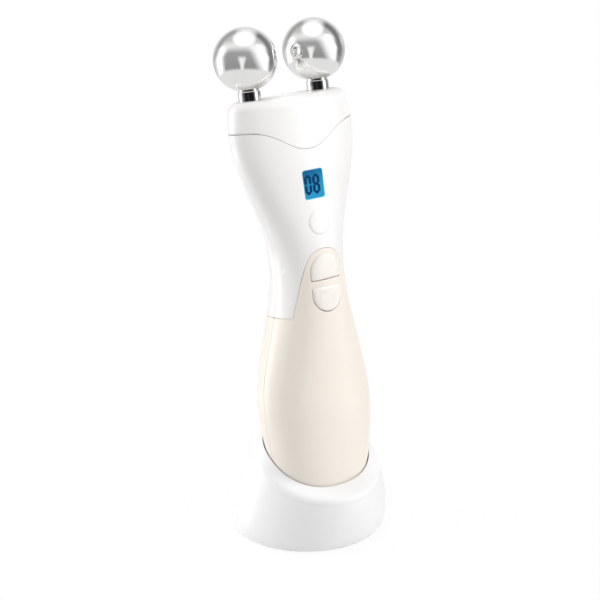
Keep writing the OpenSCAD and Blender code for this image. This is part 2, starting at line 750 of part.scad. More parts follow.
// Inner skin: the same path on the hidden side of the wall
function cradle_inner() =
    let (
        n = len(round_angles) - 1,
        under = cradle_wall + well_gap,
        ceiling = [for (a = round_angles) well_point(rim_height(a), a, well_gap)[2] - lip_drop - 0.5]
    ) concat(
        [for (u = [0, 0.5]) [for (a = round_angles) wall_point(skirt_z + u, a, cradle_wall)]],
        [for (u = [1 : 8]) [for (i = [0 : n])
            wall_point(skirt_z + 1 + (ceiling[i] - skirt_z - 1) * (u - 1) / 7, round_angles[i], cradle_wall)]],
        [for (u = [1 : 6]) [for (i = [0 : n])
            let (a = round_angles[i], z = rim_height(a) - lip_drop)
            wall_point(ceiling[i], a, cradle_wall) * (1 - u / 6) + well_point(z, a, under) * u / 6]],
        [for (u = [1 : 6]) [for (i = [0 : n])
            let (a = round_angles[i], high = rim_height(a) - lip_drop)
            well_point(high + (well_floor - cradle_wall - high) * u / 6, a, under)]]
    );

module at_bosses() {
    for (b = bosses, s = [-1, 1]) translate([s * b[0], b[1], 0]) children();
}

module cradle_shell() color(white) difference() {
    union() {
        sheet(cradle_outer(), cradle_inner(), true, cap_high = true);
        for (b = bosses, s = [-1, 1])
            translate([s * b[0], b[1], plate_high]) cylinder(r = boss_r, h = b[2] - plate_high);
    }
    at_bosses() translate([0, 0, plate_high - 1]) cylinder(r = screw_r + thin / 2, h = 9);
    in_handset() for (x = [-pin_x, pin_x])
        translate([x, pin_y, -cradle_wall - 2]) cylinder(r = barrel_r + thin / 2, h = 4);
    translate([0, 0, inlet_z]) bar_y(inlet_nose - thin, inlet_mouth - 4, 40);
}

// Disc with a groove for the foot ring, screw holes inside that groove and posts for the circuit
module cradle_base_plate() color(white) difference() {
    union() {
        translate([0, plate_y, plate_low]) cylinder(r = plate_r, h = plate_thick);
        for (x = [-1, 1], y = [circuit_front + 2, circuit_back - 4])
            translate([x * (circuit_half - 2), y, plate_high]) cylinder(r = 1.6, h = circuit_low - plate_high);
    }
    translate([0, plate_y, plate_low - 1]) difference() {
        cylinder(r = foot_out + thin, h = 1 + foot_sunk);
        translate([0, 0, -1]) cylinder(r = foot_in - thin, h = 4);
    }
    at_bosses() {
        cylinder(r = screw_head_r + 0.15, h = foot_top + screw_head_t);
        cylinder(r = screw_r + 0.15, h = plate_high + 1);
    }
}

module cradle_foot_ring() color(rubber_grey) translate([0, plate_y, 0]) difference() {
    cylinder(r = foot_out, h = foot_top);
    translate([0, 0, -1]) cylinder(r = foot_in, h = 4);
}

// Steel ballast under the well, with a window for the charge pins
module cradle_weight() color(steel) difference() {
    translate([0, plate_y, plate_high]) cylinder(r = weight_r, h = weight_thick);
    translate([-weight_r, weight_back, plate_high - 1]) cube([2 * weight_r, weight_r + 2, weight_thick + 2]);
    translate([-9, -18, plate_high - 1]) cube([18, 7, weight_thick + 2]);
}

module cradle_screws() color(steel) at_bosses() translate([0, 0, foot_top + thin / 2]) {
    cylinder(r = screw_head_r, h = screw_head_t - thin / 2);
    cylinder(r = screw_r, h = 7.5);
}

module cradle_board() color(board_green)
    translate([-circuit_half, circuit_front, circuit_low])
        cube([2 * circuit_half, circuit_back - circuit_front, board_thick]);

// Leads from the cradle's circuit to the charge pins
module cradle_leads() color("#303236")
    for (s = [-1, 1])
        lead([[s * 4, circuit_front + 1.5, 5.8], [s * 4, circuit_front - 1, 6], [s * 4.4, 3, 6],
            [s * 5, -4, 6], [s * 5.5, -8, 6], docked([s * pin_x, pin_y + barrel_r + 0.2, -5.6])], lead_r);

// Round socket for the power plug, with its centre pin
module power_inlet() color(dark_plastic) translate([0, 0, inlet_z]) {
    difference() {
        union() {
            facing(inlet_mouth - inlet_depth, inlet_mouth - inlet_nose) square(2 * inlet_half, center = true);
            bar_y(inlet_nose - 0.3, inlet_mouth - inlet_nose, inlet_mouth);
        }
        bar_y(inlet_bore, inlet_mouth - inlet_depth + 2, inlet_mouth + 2);
    }
    bar_y(inlet_pin, inlet_mouth - inlet_depth + 1, inlet_mouth - inlet_depth + 2 + inlet_pin_length);
}

module charge_pin_barrels() color(brass) in_handset()
    for (x = [-pin_x, pin_x]) translate([x, pin_y, barrel_low]) difference() {
        cylinder(r = barrel_r, h = well_floor - 0.2 - barrel_low);
        translate([0, 0, 2]) cylinder(r = pin_r + 0.06, h = 20);
    }

module charge_pin(side) color(brass) in_handset() translate([side * pin_x, pin_y, 0]) {
    translate([0, 0, pin_low]) cylinder(r = pin_r, h = pin_top - pin_r - pin_low);
    translate([0, 0, pin_top - pin_r]) sphere(r = pin_r);
}

cradle_shell();
cradle_base_plate();
cradle_weight();
cradle_foot_ring();
cradle_screws();
cradle_board();
cradle_leads();
power_inlet();
charge_pin_barrels();
charge_pin(-1);  // charge_pin_left
charge_pin(1);  // charge_pin_right
front_shell();
rear_shell();
grip_front_shell();
grip_rear_shell();
end_cap();
end_cap_screws();
chassis();
main_board();
board_chips();
board_screws();
tact_switches();
display_window();
display_cell();
display_backlight();
display_holder();
battery_cell();
battery_leads();
charge_contacts();
charge_leads();
buzzer();
head_socket();
socket_seal();
head_contact_pins();
power_button();
key_up();
key_down();
head_shell();
head_plug();
electrode_ball(-1);  // electrode_ball_left
electrode_ball(1);  // electrode_ball_right
electrode_neck(-1);  // electrode_neck_left
electrode_neck(1);  // electrode_neck_right
electrode_washers();
electrode_nuts();
contact_strips();
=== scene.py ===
"""Two-ball facial toning device standing in its charging cradle: the looks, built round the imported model.

Blender works in metres. The handset's own frame is in millimetres, with its lower end at z = 0 and its
front at -Y. docked() leans that frame back into the cradle's well.
"""
import math

import bmesh
import bpy
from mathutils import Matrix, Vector
from mathutils.geometry import delaunay_2d_cdt


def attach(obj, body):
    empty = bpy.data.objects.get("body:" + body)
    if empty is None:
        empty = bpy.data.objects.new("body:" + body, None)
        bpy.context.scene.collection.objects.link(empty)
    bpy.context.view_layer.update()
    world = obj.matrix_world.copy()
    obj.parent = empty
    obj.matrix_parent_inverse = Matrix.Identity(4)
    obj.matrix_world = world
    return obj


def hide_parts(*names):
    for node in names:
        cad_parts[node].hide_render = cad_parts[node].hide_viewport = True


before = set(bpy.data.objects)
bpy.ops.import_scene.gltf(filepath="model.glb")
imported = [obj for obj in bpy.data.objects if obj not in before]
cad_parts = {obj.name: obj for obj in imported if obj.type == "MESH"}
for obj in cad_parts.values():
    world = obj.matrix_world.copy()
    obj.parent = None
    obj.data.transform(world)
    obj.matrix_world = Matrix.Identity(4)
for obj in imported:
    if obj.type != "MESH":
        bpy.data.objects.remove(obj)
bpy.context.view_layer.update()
MM = 0.001

# ---- The shape of the object, in millimetres ----

GRIP, WAIST, SHOULDER, HEAD_TOP = 40, 92, 144, 155.6     # heights along the handset
FACE, NECK = 128, 126             # where its front becomes straight, and where its back is nearest
GRIP_HALF, WAIST_HALF, HEAD_HALF, TOP_HALF = 22.4, 13.45, 25.5, 22.9
FRONT_GRIP, FRONT_WAIST, FRONT_FACE, FRONT_TOP = 11.6, 14.4, 12.8, 11.8  # its front, before the axis
BACK_GRIP, BACK_NECK, BACK_TOP = 18.4, 6.8, 8.4          # its back, behind the axis
TOE_REACH, BACK_REACH, FRONT_TOE = 47, 52, 4.9           # how sides, back and front draw in at the toe
SECTION = 2.3                     # exponent of the superellipse section
TOP_ROUND, TOE_ROUND = 3.6, 3.0
WALL = 1.6
CAP_SEAM, SIDE_SEAM = 7, 76       # the end cap's seam, and the white to cream seam at the sides
SEAM_LOW, SEAM_RISE, SEAM_SPREAD = 136.5, 8.4, 0.45      # the head's seam: lowest point, rise, width
TONGUE_RISE, TONGUE_ANGLE, TONGUE_BEND, TONGUE_FALL = 24.2, 54, 2.2, 0.7
LEAN = math.radians(10.9)
DOCK = Vector((0, -15.1, 12))
BALL_R, BALL_X, BALL_Y, BALL_Z = 11.5, 14.9, -0.7, 170.3
NECK_R, SHANK_R, SHANK_END, SPIGOT_R = 4.1, 2.0, 148.2, 1.9
WINDOW_Z, WINDOW_SIDE, WINDOW_RISE, WINDOW_CORNER = 123.6, 4.4, 5.3, 0.9
POWER_Z, POWER_R = 109.7, 4.4
KEY_UP_Z, KEY_DOWN_Z, KEY_R, KEY_STRAIGHT = 88.9, 86.0, 6.2, 2.9
KEY_MIDDLE = 3.4                  # a key's centre, from its straight edge
CRADLE_R, CRADLE_WALL, SKIRT = 29.3, 2.0, 0.5
CRADLE_CURVE, CRADLE_SHIFT, CRADLE_LEAN, CRADLE_RETURN = 158, 0.9, 0.366, 0.0097
RIM_Z, RIM_SLOPE, WELL_GAP, WELL_FLOOR = 37.2, 0.63, 0.4, -0.2
LIP, LIP_ROUND, CRISP = 4.8, 2.4, 0.3                    # the lip, its outer and its inner rounding
PLATE_LOW, PLATE_THICK, PLATE_R, PLATE_Y = 0.7, 2, 26.9, 0.3
FOOT_IN, FOOT_OUT, FOOT_SUNK, FOOT_TOP = 19.0, 25.6, 0.5, 1.2
INLET_Z, INLET_HOLE_R = 9.6, 3.92
PIN_X, PIN_Y, BARREL_R, CONTACT_HOLE_R = 5.6, 2.5, 1.5, 2.06
END_SCREW_Y = (-0.6, 5.6)
BOSSES = [(s * x, y) for x, y in ((16, 15), (22.5, -5)) for s in (-1, 1)]
SCREW_R, SCREW_HEAD_R, SCREW_HEAD = 1.1, 1.98, 0.85
BUTTON_GAP, WINDOW_GAP = 0.15, 0.02      # gaps that the source leaves round the caps and the window
SEAM_GAP, SIDE_GAP, HEAD_GAP = 0.05, 0.02, 0.075         # half the gaps between the shells
ROLL, HOLE_ROLL = 0.14, 0.03      # radii of the shells' outer edges and of the edges round their holes
EDGE = SEAM_GAP + ROLL            # from the middle of a seam to where a rolled edge starts
PROUD = 0.33                      # how far the caps stand out of the shell
KEY_FIT = (0.14, 1.1, 0.136)      # a key's gap, its rounded border, and how far it sits to the upper right
POWER_FIT = (0.014, 1.0, 0.012)   # the same of the power button
RIM_WIDTH = 0.3                   # the display window's bright rim
BOX, ROOM = 3.2, 0.02             # brightness of the soft boxes' cores in a mirror, and of the room


def ease(start, end, u):
    u = min(max(u, 0), 1)
    return start + (end - start) * (1 - math.cos(math.pi * u)) / 2


def closing(depth, reach):
    return math.sqrt(max(0, 1 - (depth / reach) ** 2))


def bow(v):
    return math.copysign(abs(v) ** (2 / SECTION), v)


def half_width(z):
    """The handset's half width at height z, without the rounding of its ends."""
    if z < GRIP:
        return GRIP_HALF * closing(GRIP - z, TOE_REACH)
    if z < WAIST:
        return ease(GRIP_HALF, WAIST_HALF, (z - GRIP) / (WAIST - GRIP))
    if z < SHOULDER:
        return ease(WAIST_HALF, HEAD_HALF, (z - WAIST) / (SHOULDER - WAIST))
    return ease(HEAD_HALF, TOP_HALF, (z - SHOULDER) / (1.6 * (HEAD_TOP - SHOULDER)))


def front_at(z):
    """How far the handset's front lies before its axis at height z; back_at() is the same behind it."""
    if z < GRIP:
        return FRONT_GRIP - FRONT_TOE * ((GRIP - z) / GRIP) ** 1.3
    if z < WAIST:
        return ease(FRONT_GRIP, FRONT_WAIST, (z - GRIP) / (WAIST - GRIP))
    if z < FACE:
        return ease(FRONT_WAIST, FRONT_FACE, (z - WAIST) / (FACE - WAIST))
    return ease(FRONT_FACE, FRONT_TOP, (z - FACE) / (1.3 * (HEAD_TOP - FACE)))


def back_at(z):
    if z < GRIP:
        return BACK_GRIP * closing(GRIP - z, BACK_REACH)
    if z < NECK:
        return ease(BACK_GRIP, BACK_NECK, (z - GRIP) / (NECK - GRIP))
    return ease(BACK_NECK, BACK_TOP, (z - NECK) / (HEAD_TOP - NECK))


def round_in(r, into):
    return 0 if into <= 0 else r - math.sqrt(max(0, r * r - into * into))


def end_round(z):
    return round_in(TOP_ROUND, z - HEAD_TOP + TOP_ROUND) + round_in(TOE_ROUND, TOE_ROUND - z)


def section(z):
    """Half width, half depth and middle of the handset's section at height z."""
    front, back = front_at(z), back_at(z)
    return half_width(z) - end_round(z), (front + back) / 2 - end_round(z), (back - front) / 2


def skin(z, degrees, inset=0):
    """A point of the skin at height z, degrees round from the front."""
    side, depth, middle = section(z)
    a = math.radians(degrees)
    return Vector(((side - inset) * bow(math.sin(a)), middle - (depth - inset) * bow(math.cos(a)), z))


def skin_normal(p):
    """Outward direction of the skin at its point p."""
    def form(z):
        side, depth, middle = section(z)
        return abs(p.x / side) ** SECTION + abs((p.y - middle) / depth) ** SECTION
    side, depth, middle = section(p.z)
    off = p.y - middle
    step = 0.05
    return Vector((
        math.copysign(SECTION * abs(p.x / side) ** (SECTION - 1) / side, p.x),
        math.copysign(SECTION * abs(off / depth) ** (SECTION - 1) / depth, off),
        (form(p.z + step) - form(p.z - step)) / (2 * step))).normalized()


def angle_at(x, z):
    """How far round from the front the skin's point at x lies, in degrees."""
    side = section(z)[0]
    return math.degrees(math.copysign(math.asin(min(1, abs(x / side) ** (SECTION / 2))), x))


def head_seam(degrees):
    """Height of the seam under the head: lowest in the middle of the front and of the back."""
    return SEAM_LOW + SEAM_RISE * (1 - math.exp(-(math.sin(math.radians(degrees)) / SEAM_SPREAD) ** 2))


def grip_seam(degrees):
    """Height of the white to cream seam: the tongue with its round top and steep sides, then level."""
    b = abs(degrees) if degrees <= 180 else 360 - degrees
    return SIDE_SEAM + TONGUE_RISE * (1 - min(b / TONGUE_ANGLE, 1) ** TONGUE_BEND) ** TONGUE_FALL


def docked(p):
    """From the handset's own millimetres to the scene's metres, leaned back into the well."""
    return Vector((p[0], DOCK.y + p[1] * math.cos(LEAN) + p[2] * math.sin(LEAN),
                   DOCK.z - p[1] * math.sin(LEAN) + p[2] * math.cos(LEAN))) * MM


# ---- Outlines on the handset's front, as distances from their edges ----

def window_edge(x, z):
    """The display window's outline: upright, with rounded corners."""
    qx, qz = abs(x) - (WINDOW_SIDE - WINDOW_CORNER), abs(z) - (WINDOW_RISE - WINDOW_CORNER)
    return math.hypot(max(qx, 0), max(qz, 0)) + min(max(qx, qz), 0) - WINDOW_CORNER


def button_edge(x, z):
    """The power button's round outline."""
    return math.hypot(x, z) - POWER_R


def key_edge(x, z):
    """A key's outline from the middle of its straight edge: level at z = 0, round at the far end."""
    bulk = math.hypot(x, z - KEY_STRAIGHT) - KEY_R if z > KEY_STRAIGHT else abs(x) - KEY_R
    blend = 0.8
    near = max(blend - abs(bulk + z), 0)
    return max(bulk, -z) + near * near / (4 * blend)


def ring_round(edge, grow, centre, count):
    """Points round an outline, found along rays from its centre where its distance equals grow."""
    ring = []
    for i in range(count):
        a = math.tau * i / count
        near, far = 0, 20
        for _ in range(32):
            mid = (near + far) / 2
            if edge(mid * math.sin(a), centre + mid * math.cos(a)) < grow:
                near = mid
            else:
                far = mid
        ring.append((near * math.sin(a), centre + near * math.cos(a)))
    return ring


# ---- Building meshes ----

def ring_faces(rows, cols, start=0):
    """Quads between rings of points that follow each other."""
    faces = []
    for r in range(rows - 1):
        for c in range(cols):
            a, b = start + r * cols + c, start + r * cols + (c + 1) % cols
            faces.append((a, b, b + cols, a + cols))
    return faces


def swept(rings, close_first=False, close_last=False):
    """Points and faces of a body that runs through rings of points."""
    rows, cols = len(rings), len(rings[0])
    faces = ring_faces(rows, cols)
    if close_first:
        faces.append(tuple(reversed(range(cols))))
    if close_last:
        faces.append(tuple(range((rows - 1) * cols, rows * cols)))
    return [p for ring in rings for p in ring], faces


def turned(profile, place, count=96, **more):
    """A body turned on a lathe: profile holds (radius, height) pairs, place turns them into points."""
    return swept([[place(r * math.sin(math.tau * i / count), r * math.cos(math.tau * i / count), h)
                   for i in range(count)] for r, h in profile], **more)


def rod(r, low, high, place, count=48):
    """A closed rod, to cut a round hole with."""
    return turned([(r, low), (r, high)], place, count, close_first=True, close_last=True)


def place_new(name, data):
    made = bpy.data.objects.new(name, data)
    bpy.context.scene.collection.objects.link(made)
    return made


def evened(piece, sharp=None):
    """Shades a piece smooth, with its large faces kept flat to the eye. Edges over sharp degrees stay
    crisp."""
    piece.data.shade_smooth()
    if sharp:
        piece.data.set_sharp_from_angle(angle=math.radians(sharp))
    even = piece.modifiers.new("even_normals", "WEIGHTED_NORMAL")
    even.mode = "FACE_AREA"
    even.keep_sharp = True


def make_piece(name, parts, body, finish, slot, replaces=(), sharp=None, cutters=()):
    """A piece that rides on a body and stands for CAD nodes. parts are (points, faces) pairs."""
    points, faces = [], []
    for more_points, more_faces in parts:
        faces += [tuple(k + len(points) for k in f) for f in more_faces]
        points += more_points
    mesh = bpy.data.meshes.new(name)
    mesh.from_pydata(points, [], faces)
    clean = bmesh.new()
    clean.from_mesh(mesh)
    bmesh.ops.remove_doubles(clean, verts=clean.verts, dist=1e-7)
    bmesh.ops.recalc_face_normals(clean, faces=clean.faces)
    clean.to_mesh(mesh)
    clean.free()
    piece = place_new(name, mesh)
    if cutters:
        drill(piece, cutters)
    piece.data.materials.clear()
    piece.data.materials.append(finish)
    evened(piece, sharp)
    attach(piece, body)
    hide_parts(*replaces)
    return piece


def drill(piece, cutters):
    """Cuts holes: cutters are (points, faces) pairs of closed bodies."""
    for points, faces in cutters:
        mesh = bpy.data.meshes.new("cutter")
        mesh.from_pydata(points, [], faces)
        closed = bmesh.new()
        closed.from_mesh(mesh)
        bmesh.ops.recalc_face_normals(closed, faces=closed.faces)
        closed.to_mesh(mesh)
        closed.free()
        cutter = place_new("cutter", mesh)
        hole = piece.modifiers.new("hole", "BOOLEAN")
        hole.operation, hole.solver, hole.object = "DIFFERENCE", "EXACT", cutter
        bpy.context.view_layer.update()
        done = bpy.data.meshes.new_from_object(piece.evaluated_get(bpy.context.evaluated_depsgraph_get()))
        piece.modifiers.clear()
        piece.data = done
        bpy.data.objects.remove(cutter)


def softened(node, body, finish, width, steps=2):
    """A CAD node's own form with its sharp edges broken by width millimetres, as moulding and turning
    leave them."""
    piece = place_new(f"{node}_softened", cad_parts[node].data.copy())
    clean = bmesh.new()
    clean.from_mesh(piece.data)
    bmesh.ops.remove_doubles(clean, verts=clean.verts, dist=1e-6)
    bmesh.ops.dissolve_limit(clean, angle_limit=math.radians(1.5), verts=clean.verts, edges=clean.edges)
    crisp = [e for e in clean.edges if len(e.link_faces) == 2 and e.calc_face_angle(0) > math.radians(38)]
    bmesh.ops.bevel(clean, geom=crisp, offset=width * MM, segments=steps, profile=0.5, affect="EDGES",
                    clamp_overlap=True)
    clean.to_mesh(piece.data)
    clean.free()
    piece.data.materials.clear()
    piece.data.materials.append(finish)
    evened(piece, 60)
    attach(piece, body)
    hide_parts(node)
    return piece


# ---- Shells with rolled edges ----

DEGREE = 0.4          # one degree round the handset counts as this many millimetres on the flat pattern


def under(p, straight):
    """The shell's inner face behind its outer point p: square to the skin, or straight back in a hole."""
    out = skin_normal(p)
    return p - (Vector((0, WALL / out.y, 0)) if straight else out * WALL)


def rolled_edge(loop, roll, straight):
    """Rings that turn a shell's outer edge over by a small radius and down to its inner face."""
    count = len(loop)
    across = []
    for i, p in enumerate(loop):
        along = loop[(i + 1) % count] - loop[i - 1]
        across.append(along.cross(skin_normal(p)).normalized())
    rings = []
    for step in (1, 2, 3, 4):
        t = math.radians(22.5 * step)
        rings.append([p + across[i] * roll * math.sin(t) - skin_normal(p) * roll * (1 - math.cos(t))
                      for i, p in enumerate(loop)])
    rings.append([under(p, straight) + across[i] * roll for i, p in enumerate(loop)])
    return rings


def shell_sheet(name, low, high, edge, holes, *args, **more):
    """One half of the handset's skin as a closed solid. edge is its outline on the flat pattern, as
    (degrees, z) pairs; low and high give its limits by angle; holes come from hole_on_skin()."""
    pitch = 1.0
    flat, loops = [], []
    for outline, _, _ in [(edge, None, None)] + holes:
        so_far = len(flat)
        flat += [Vector((a * DEGREE, z)) for a, z in outline]
        loops.append(list(range(so_far, len(flat))))
    angles = sorted(a for a, _ in edge)
    first, last = angles[0] * DEGREE, angles[-1] * DEGREE
    span = range(math.ceil((first + pitch / 2) / pitch), math.ceil(last / pitch))
    reach = (min(z for _, z in edge), max(z for _, z in edge))
    margin = pitch * 0.55
    for i in span:
        for j in range(int(reach[0]), int(reach[1]) + 1):
            u, z = i * pitch, j * pitch + (0.5 * pitch if i % 2 else 0)
            near = [(u + d) / DEGREE for d in (-margin, 0, margin)]
            if not all(low(a) + margin < z < high(a) - margin for a in near):
                continue
            x = skin(z, u / DEGREE).x
            if all(shape(x, z - middle if up else middle - z) > margin for _, shape, (middle, up) in holes):
                flat.append(Vector((u, z)))
    edges = [(loop[k], loop[(k + 1) % len(loop)]) for loop in loops for k in range(len(loop))]
    within_outline = 1
    verts, _, tris, *_ = delaunay_2d_cdt(flat, edges, [], within_outline, 1e-6)

    def inside(tri):
        u = sum(verts[k].x for k in tri) / 3
        z = sum(verts[k].y for k in tri) / 3
        x = skin(z, u / DEGREE).x
        return all(shape(x, z - middle if up else middle - z) > 0 for _, shape, (middle, up) in holes)

    outer = [skin(v.y, v.x / DEGREE) for v in verts]
    kept = [tuple(t) for t in tris if inside(t)]
    n = len(outer)
    round_holes = {k for loop in loops[1:] for k in loop}
    points = outer + [under(p, k in round_holes) for k, p in enumerate(outer)]
    faces = kept + [tuple(k + n for k in reversed(t)) for t in kept]
    for which, turn in enumerate(loops):
        rings = rolled_edge([outer[k] for k in turn], HOLE_ROLL if which else ROLL, which > 0)
        start = len(points)
        points += [p for ring in rings for p in ring]
        m = len(turn)
        faces += ring_faces(len(rings), m, start)
        for k in range(m):
            here, there = turn[k], turn[(k + 1) % m]
            faces.append((here, there, start + (k + 1) % m, start + k))
            inmost = start + (len(rings) - 1) * m
            faces.append((inmost + k, inmost + (k + 1) % m, there + n, here + n))
    used = sorted({k for f in faces for k in f})
    renumber = {k: i for i, k in enumerate(used)}
    solid = [docked(points[k]) for k in used], [tuple(renumber[k] for k in f) for f in faces]
    return make_piece(name, [solid], *args, **more)


CAP_POINTS, WINDOW_POINTS = 144, 88       # corners of the outlines round the caps and the window


def hole_on_skin(edge, grow, middle, up, centre, count=CAP_POINTS):
    """A hole's outline as (degrees, z) pairs, with its distance and place. up is False where the outline
    is turned upside down."""
    outline = []
    for x, z in ring_round(edge, grow, centre, count):
        height = middle + (z if up else -z)
        outline.append((angle_at(x, height), height))
    if not up:
        outline.reverse()
    return outline, (lambda x, z: edge(x, z) - grow), (middle, up)


def tongue_line(gap):
    """The white to cream seam from left to right, moved by gap across itself to the white side."""
    side = [(b, grip_seam(b)) for b in (*range(3, 49, 3), 49.5, 50.8, 51.8, 52.6, 53.1, 53.4)]
    side += [(53.7, 77.0), (54.2, 76.4), (54.9, 76.1)]                     # small round at its foot
    side += [(b, SIDE_SEAM) for b in (56, *range(57, 91, 3))]
    seam = [(-b, z) for b, z in side[::-1]] + [(0, grip_seam(0))] + side
    line = []
    for i, (a, z) in enumerate(seam):
        if abs(a) > 55:
            line.append((a, z + gap))
            continue
        before, here, after = (skin(height, b) for b, height in seam[i - 1:i + 2])
        moved = here + skin_normal(here).cross(after - before).normalized() * gap
        line.append((angle_at(moved.x, moved.z), moved.z))
    return line


def upright(a, low, high):
    count = max(2, round(abs(high - low) / 1.2))
    return [(a, low + (high - low) * i / count) for i in range(1, count)]


def shell_outline(bottom, top):
    """Closes a shell's outline: bottom and top run the same way round."""
    return (bottom + upright(bottom[-1][0], bottom[-1][1], top[-1][1])
            + top[::-1] + upright(top[0][0], top[0][1], bottom[0][1]))


FRONT_SIDE = 90 - SIDE_GAP / DEGREE - ROLL / DEGREE       # angles where the rolled side edges start
REAR_SIDE = 90 + SIDE_GAP / DEGREE + ROLL / DEGREE
FRONT_ANGLES = [a * FRONT_SIDE / 90 for a in range(-90, 91, 3)]
REAR_ANGLES = [REAR_SIDE + (360 - 2 * REAR_SIDE) * i / 60 for i in range(61)]


def under_head(degrees):
    """Where the white shells' rolled upper edge starts."""
    return head_seam(degrees) - HEAD_GAP - ROLL


def white_front_shell(finish):
    top = [(a, under_head(a)) for a in FRONT_ANGLES]
    bottom = [(a * FRONT_SIDE / 90, z) for a, z in tongue_line(EDGE)]
    holes = [hole_on_skin(window_edge, WINDOW_GAP + HOLE_ROLL, WINDOW_Z, True, 0, WINDOW_POINTS),
             hole_on_skin(button_edge, BUTTON_GAP + HOLE_ROLL, POWER_Z, True, 0)]
    return shell_sheet("white_front", lambda a: grip_seam(a) + EDGE, under_head, shell_outline(bottom, top),
                       holes, "handset", finish, "white_abs", replaces=["front_shell"])


def white_rear_shell(finish):
    edge = shell_outline([(a, SIDE_SEAM + EDGE) for a in REAR_ANGLES],
                         [(a, under_head(a)) for a in REAR_ANGLES])
    return shell_sheet("white_rear", lambda a: SIDE_SEAM + EDGE, under_head, edge, [],
                       "handset", finish, "white_abs", replaces=["rear_shell"])


def cream_front_shell(finish):
    bottom = [(a, CAP_SEAM + EDGE) for a in FRONT_ANGLES]
    top = [(a * FRONT_SIDE / 90, z) for a, z in tongue_line(-EDGE)]
    grow = BUTTON_GAP + HOLE_ROLL
    holes = [hole_on_skin(key_edge, grow, KEY_UP_Z, True, KEY_MIDDLE),
             hole_on_skin(key_edge, grow, KEY_DOWN_Z, False, KEY_MIDDLE)]
    return shell_sheet("cream_front", lambda a: CAP_SEAM + EDGE, lambda a: grip_seam(a) - EDGE,
                       shell_outline(bottom, top), holes, "handset", finish, "cream_abs",
                       replaces=["grip_front_shell"])


def cream_rear_shell(finish):
    edge = shell_outline([(a, CAP_SEAM + EDGE) for a in REAR_ANGLES],
                         [(a, SIDE_SEAM - EDGE) for a in REAR_ANGLES])
    return shell_sheet("cream_rear", lambda a: CAP_SEAM + EDGE, lambda a: SIDE_SEAM - EDGE, edge, [],
                       "handset", finish, "cream_abs", replaces=["grip_rear_shell"])


# ---- Head and end cap ----

AROUND = [i * 2.0 for i in range(180)]


def seam_ring(seam, off, inset):
    """A ring that follows a seam, off above it and moved in by inset."""
    return [docked(skin(seam(a) + off, a, inset)) for a in AROUND]


def head_cover(finish):
    """The head's cover: inside, broken lower edge on the seam, side, rounded top edge and flat top."""
    start = HEAD_TOP - TOP_ROUND
    roof = TOP_ROUND - WALL
    rings = [[docked(skin(start, a, WALL + roof) + Vector((0, 0, roof))) for a in AROUND]]
    rings.append([docked(skin(start, a, WALL)) for a in AROUND])
    rings += [seam_ring(head_seam, HEAD_GAP + off, WALL) for off in (2.4, 0)]
    for t in (0, 22.5, 45, 67.5, 90):
        into = ROLL * (1 - math.sin(math.radians(t)))
        rings.append(seam_ring(head_seam, HEAD_GAP + into, into))
    foot = HEAD_GAP + ROLL
    for i in range(1, 13):
        rings.append([docked(skin(head_seam(a) + foot + (start - head_seam(a) - foot) * i / 12, a))
                      for a in AROUND])
    for t in range(6, 91, 6):
        up, turn = TOP_ROUND * math.sin(math.radians(t)), 1 - math.cos(math.radians(t))
        rings.append([docked(skin(start, a, TOP_ROUND * turn) + Vector((0, 0, up))) for a in AROUND])
    depth = section(start)[1]
    for i in range(1, 9):
        into = TOP_ROUND + (depth - TOP_ROUND) * i / 9
        rings.append([docked(skin(start, a, into) + Vector((0, 0, TOP_ROUND))) for a in AROUND])
    return make_piece("white_head", [swept(rings, True, True)], "head", finish, "white_abs",
                      replaces=["head_shell"])


def end_cap_cover(finish):
    """The grip's lower end: rolled edge at its seam, rounded toe, holes for contacts and screws."""
    top, floor = CAP_SEAM - SEAM_GAP, 3.0
    depth = section(TOE_ROUND)[1]
    rings = [[docked(skin(floor, a, depth * (1 - i / 6))) for a in AROUND] for i in range(2, 6)]
    rings += [[docked(skin(z, a, WALL)) for a in AROUND] for z in (floor, top)]
    for t in (0, 22.5, 45, 67.5, 90):
        a = math.radians(t)
        z, into = top - ROLL * (1 - math.cos(a)), ROLL * (1 - math.sin(a))
        rings.append([docked(skin(z, b, into)) for b in AROUND])
    for i in range(1, 5):
        rings.append([docked(skin(top - ROLL + (TOE_ROUND - top + ROLL) * i / 4, a)) for a in AROUND])
    for t in range(7, 91, 7):
        turn = math.radians(t)
        into, down = TOE_ROUND * (1 - math.cos(turn)), Vector((0, 0, TOE_ROUND * math.sin(turn)))
        rings.append([docked(skin(TOE_ROUND, a, into) - down) for a in AROUND])
    for i in range(0, 6):
        into, down = TOE_ROUND + (depth - TOE_ROUND) * i / 6, Vector((0, 0, TOE_ROUND))
        rings.append([docked(skin(TOE_ROUND, a, into) - down) for a in AROUND])
    holes = [rod(CONTACT_HOLE_R, -2, 2.4, lambda x, y, h, s=s: docked((s * PIN_X + x, PIN_Y + y, h)))
             for s in (-1, 1)]
    holes += [rod(CONTACT_HOLE_R, -2, 1.0, lambda x, y, h, m=m: docked((x, m + y, h))) for m in END_SCREW_Y]
    return make_piece("end_cap_cover", [swept(rings, True, True)], "handset", finish, "cream_abs",
                      replaces=["end_cap"], sharp=50, cutters=holes)


# ---- Cradle ----

def wall_point(z, degrees, inset=0):
    """A point of the cradle's outer wall at height z above the table, moved in by inset."""
    a = math.radians(degrees)
    r = CRADLE_R - z * z / CRADLE_CURVE - inset
    middle = CRADLE_SHIFT - CRADLE_LEAN * z + CRADLE_RETURN * z * z
    return Vector((r * math.sin(a), middle - r * math.cos(a), z)) * MM


def well_point(z, degrees, out):
    """A point of the well's wall: the handset's skin at height z, moved out."""
    return docked(skin(max(z, TOE_ROUND), degrees, -out) + Vector((0, 0, min(z - TOE_ROUND, 0))))


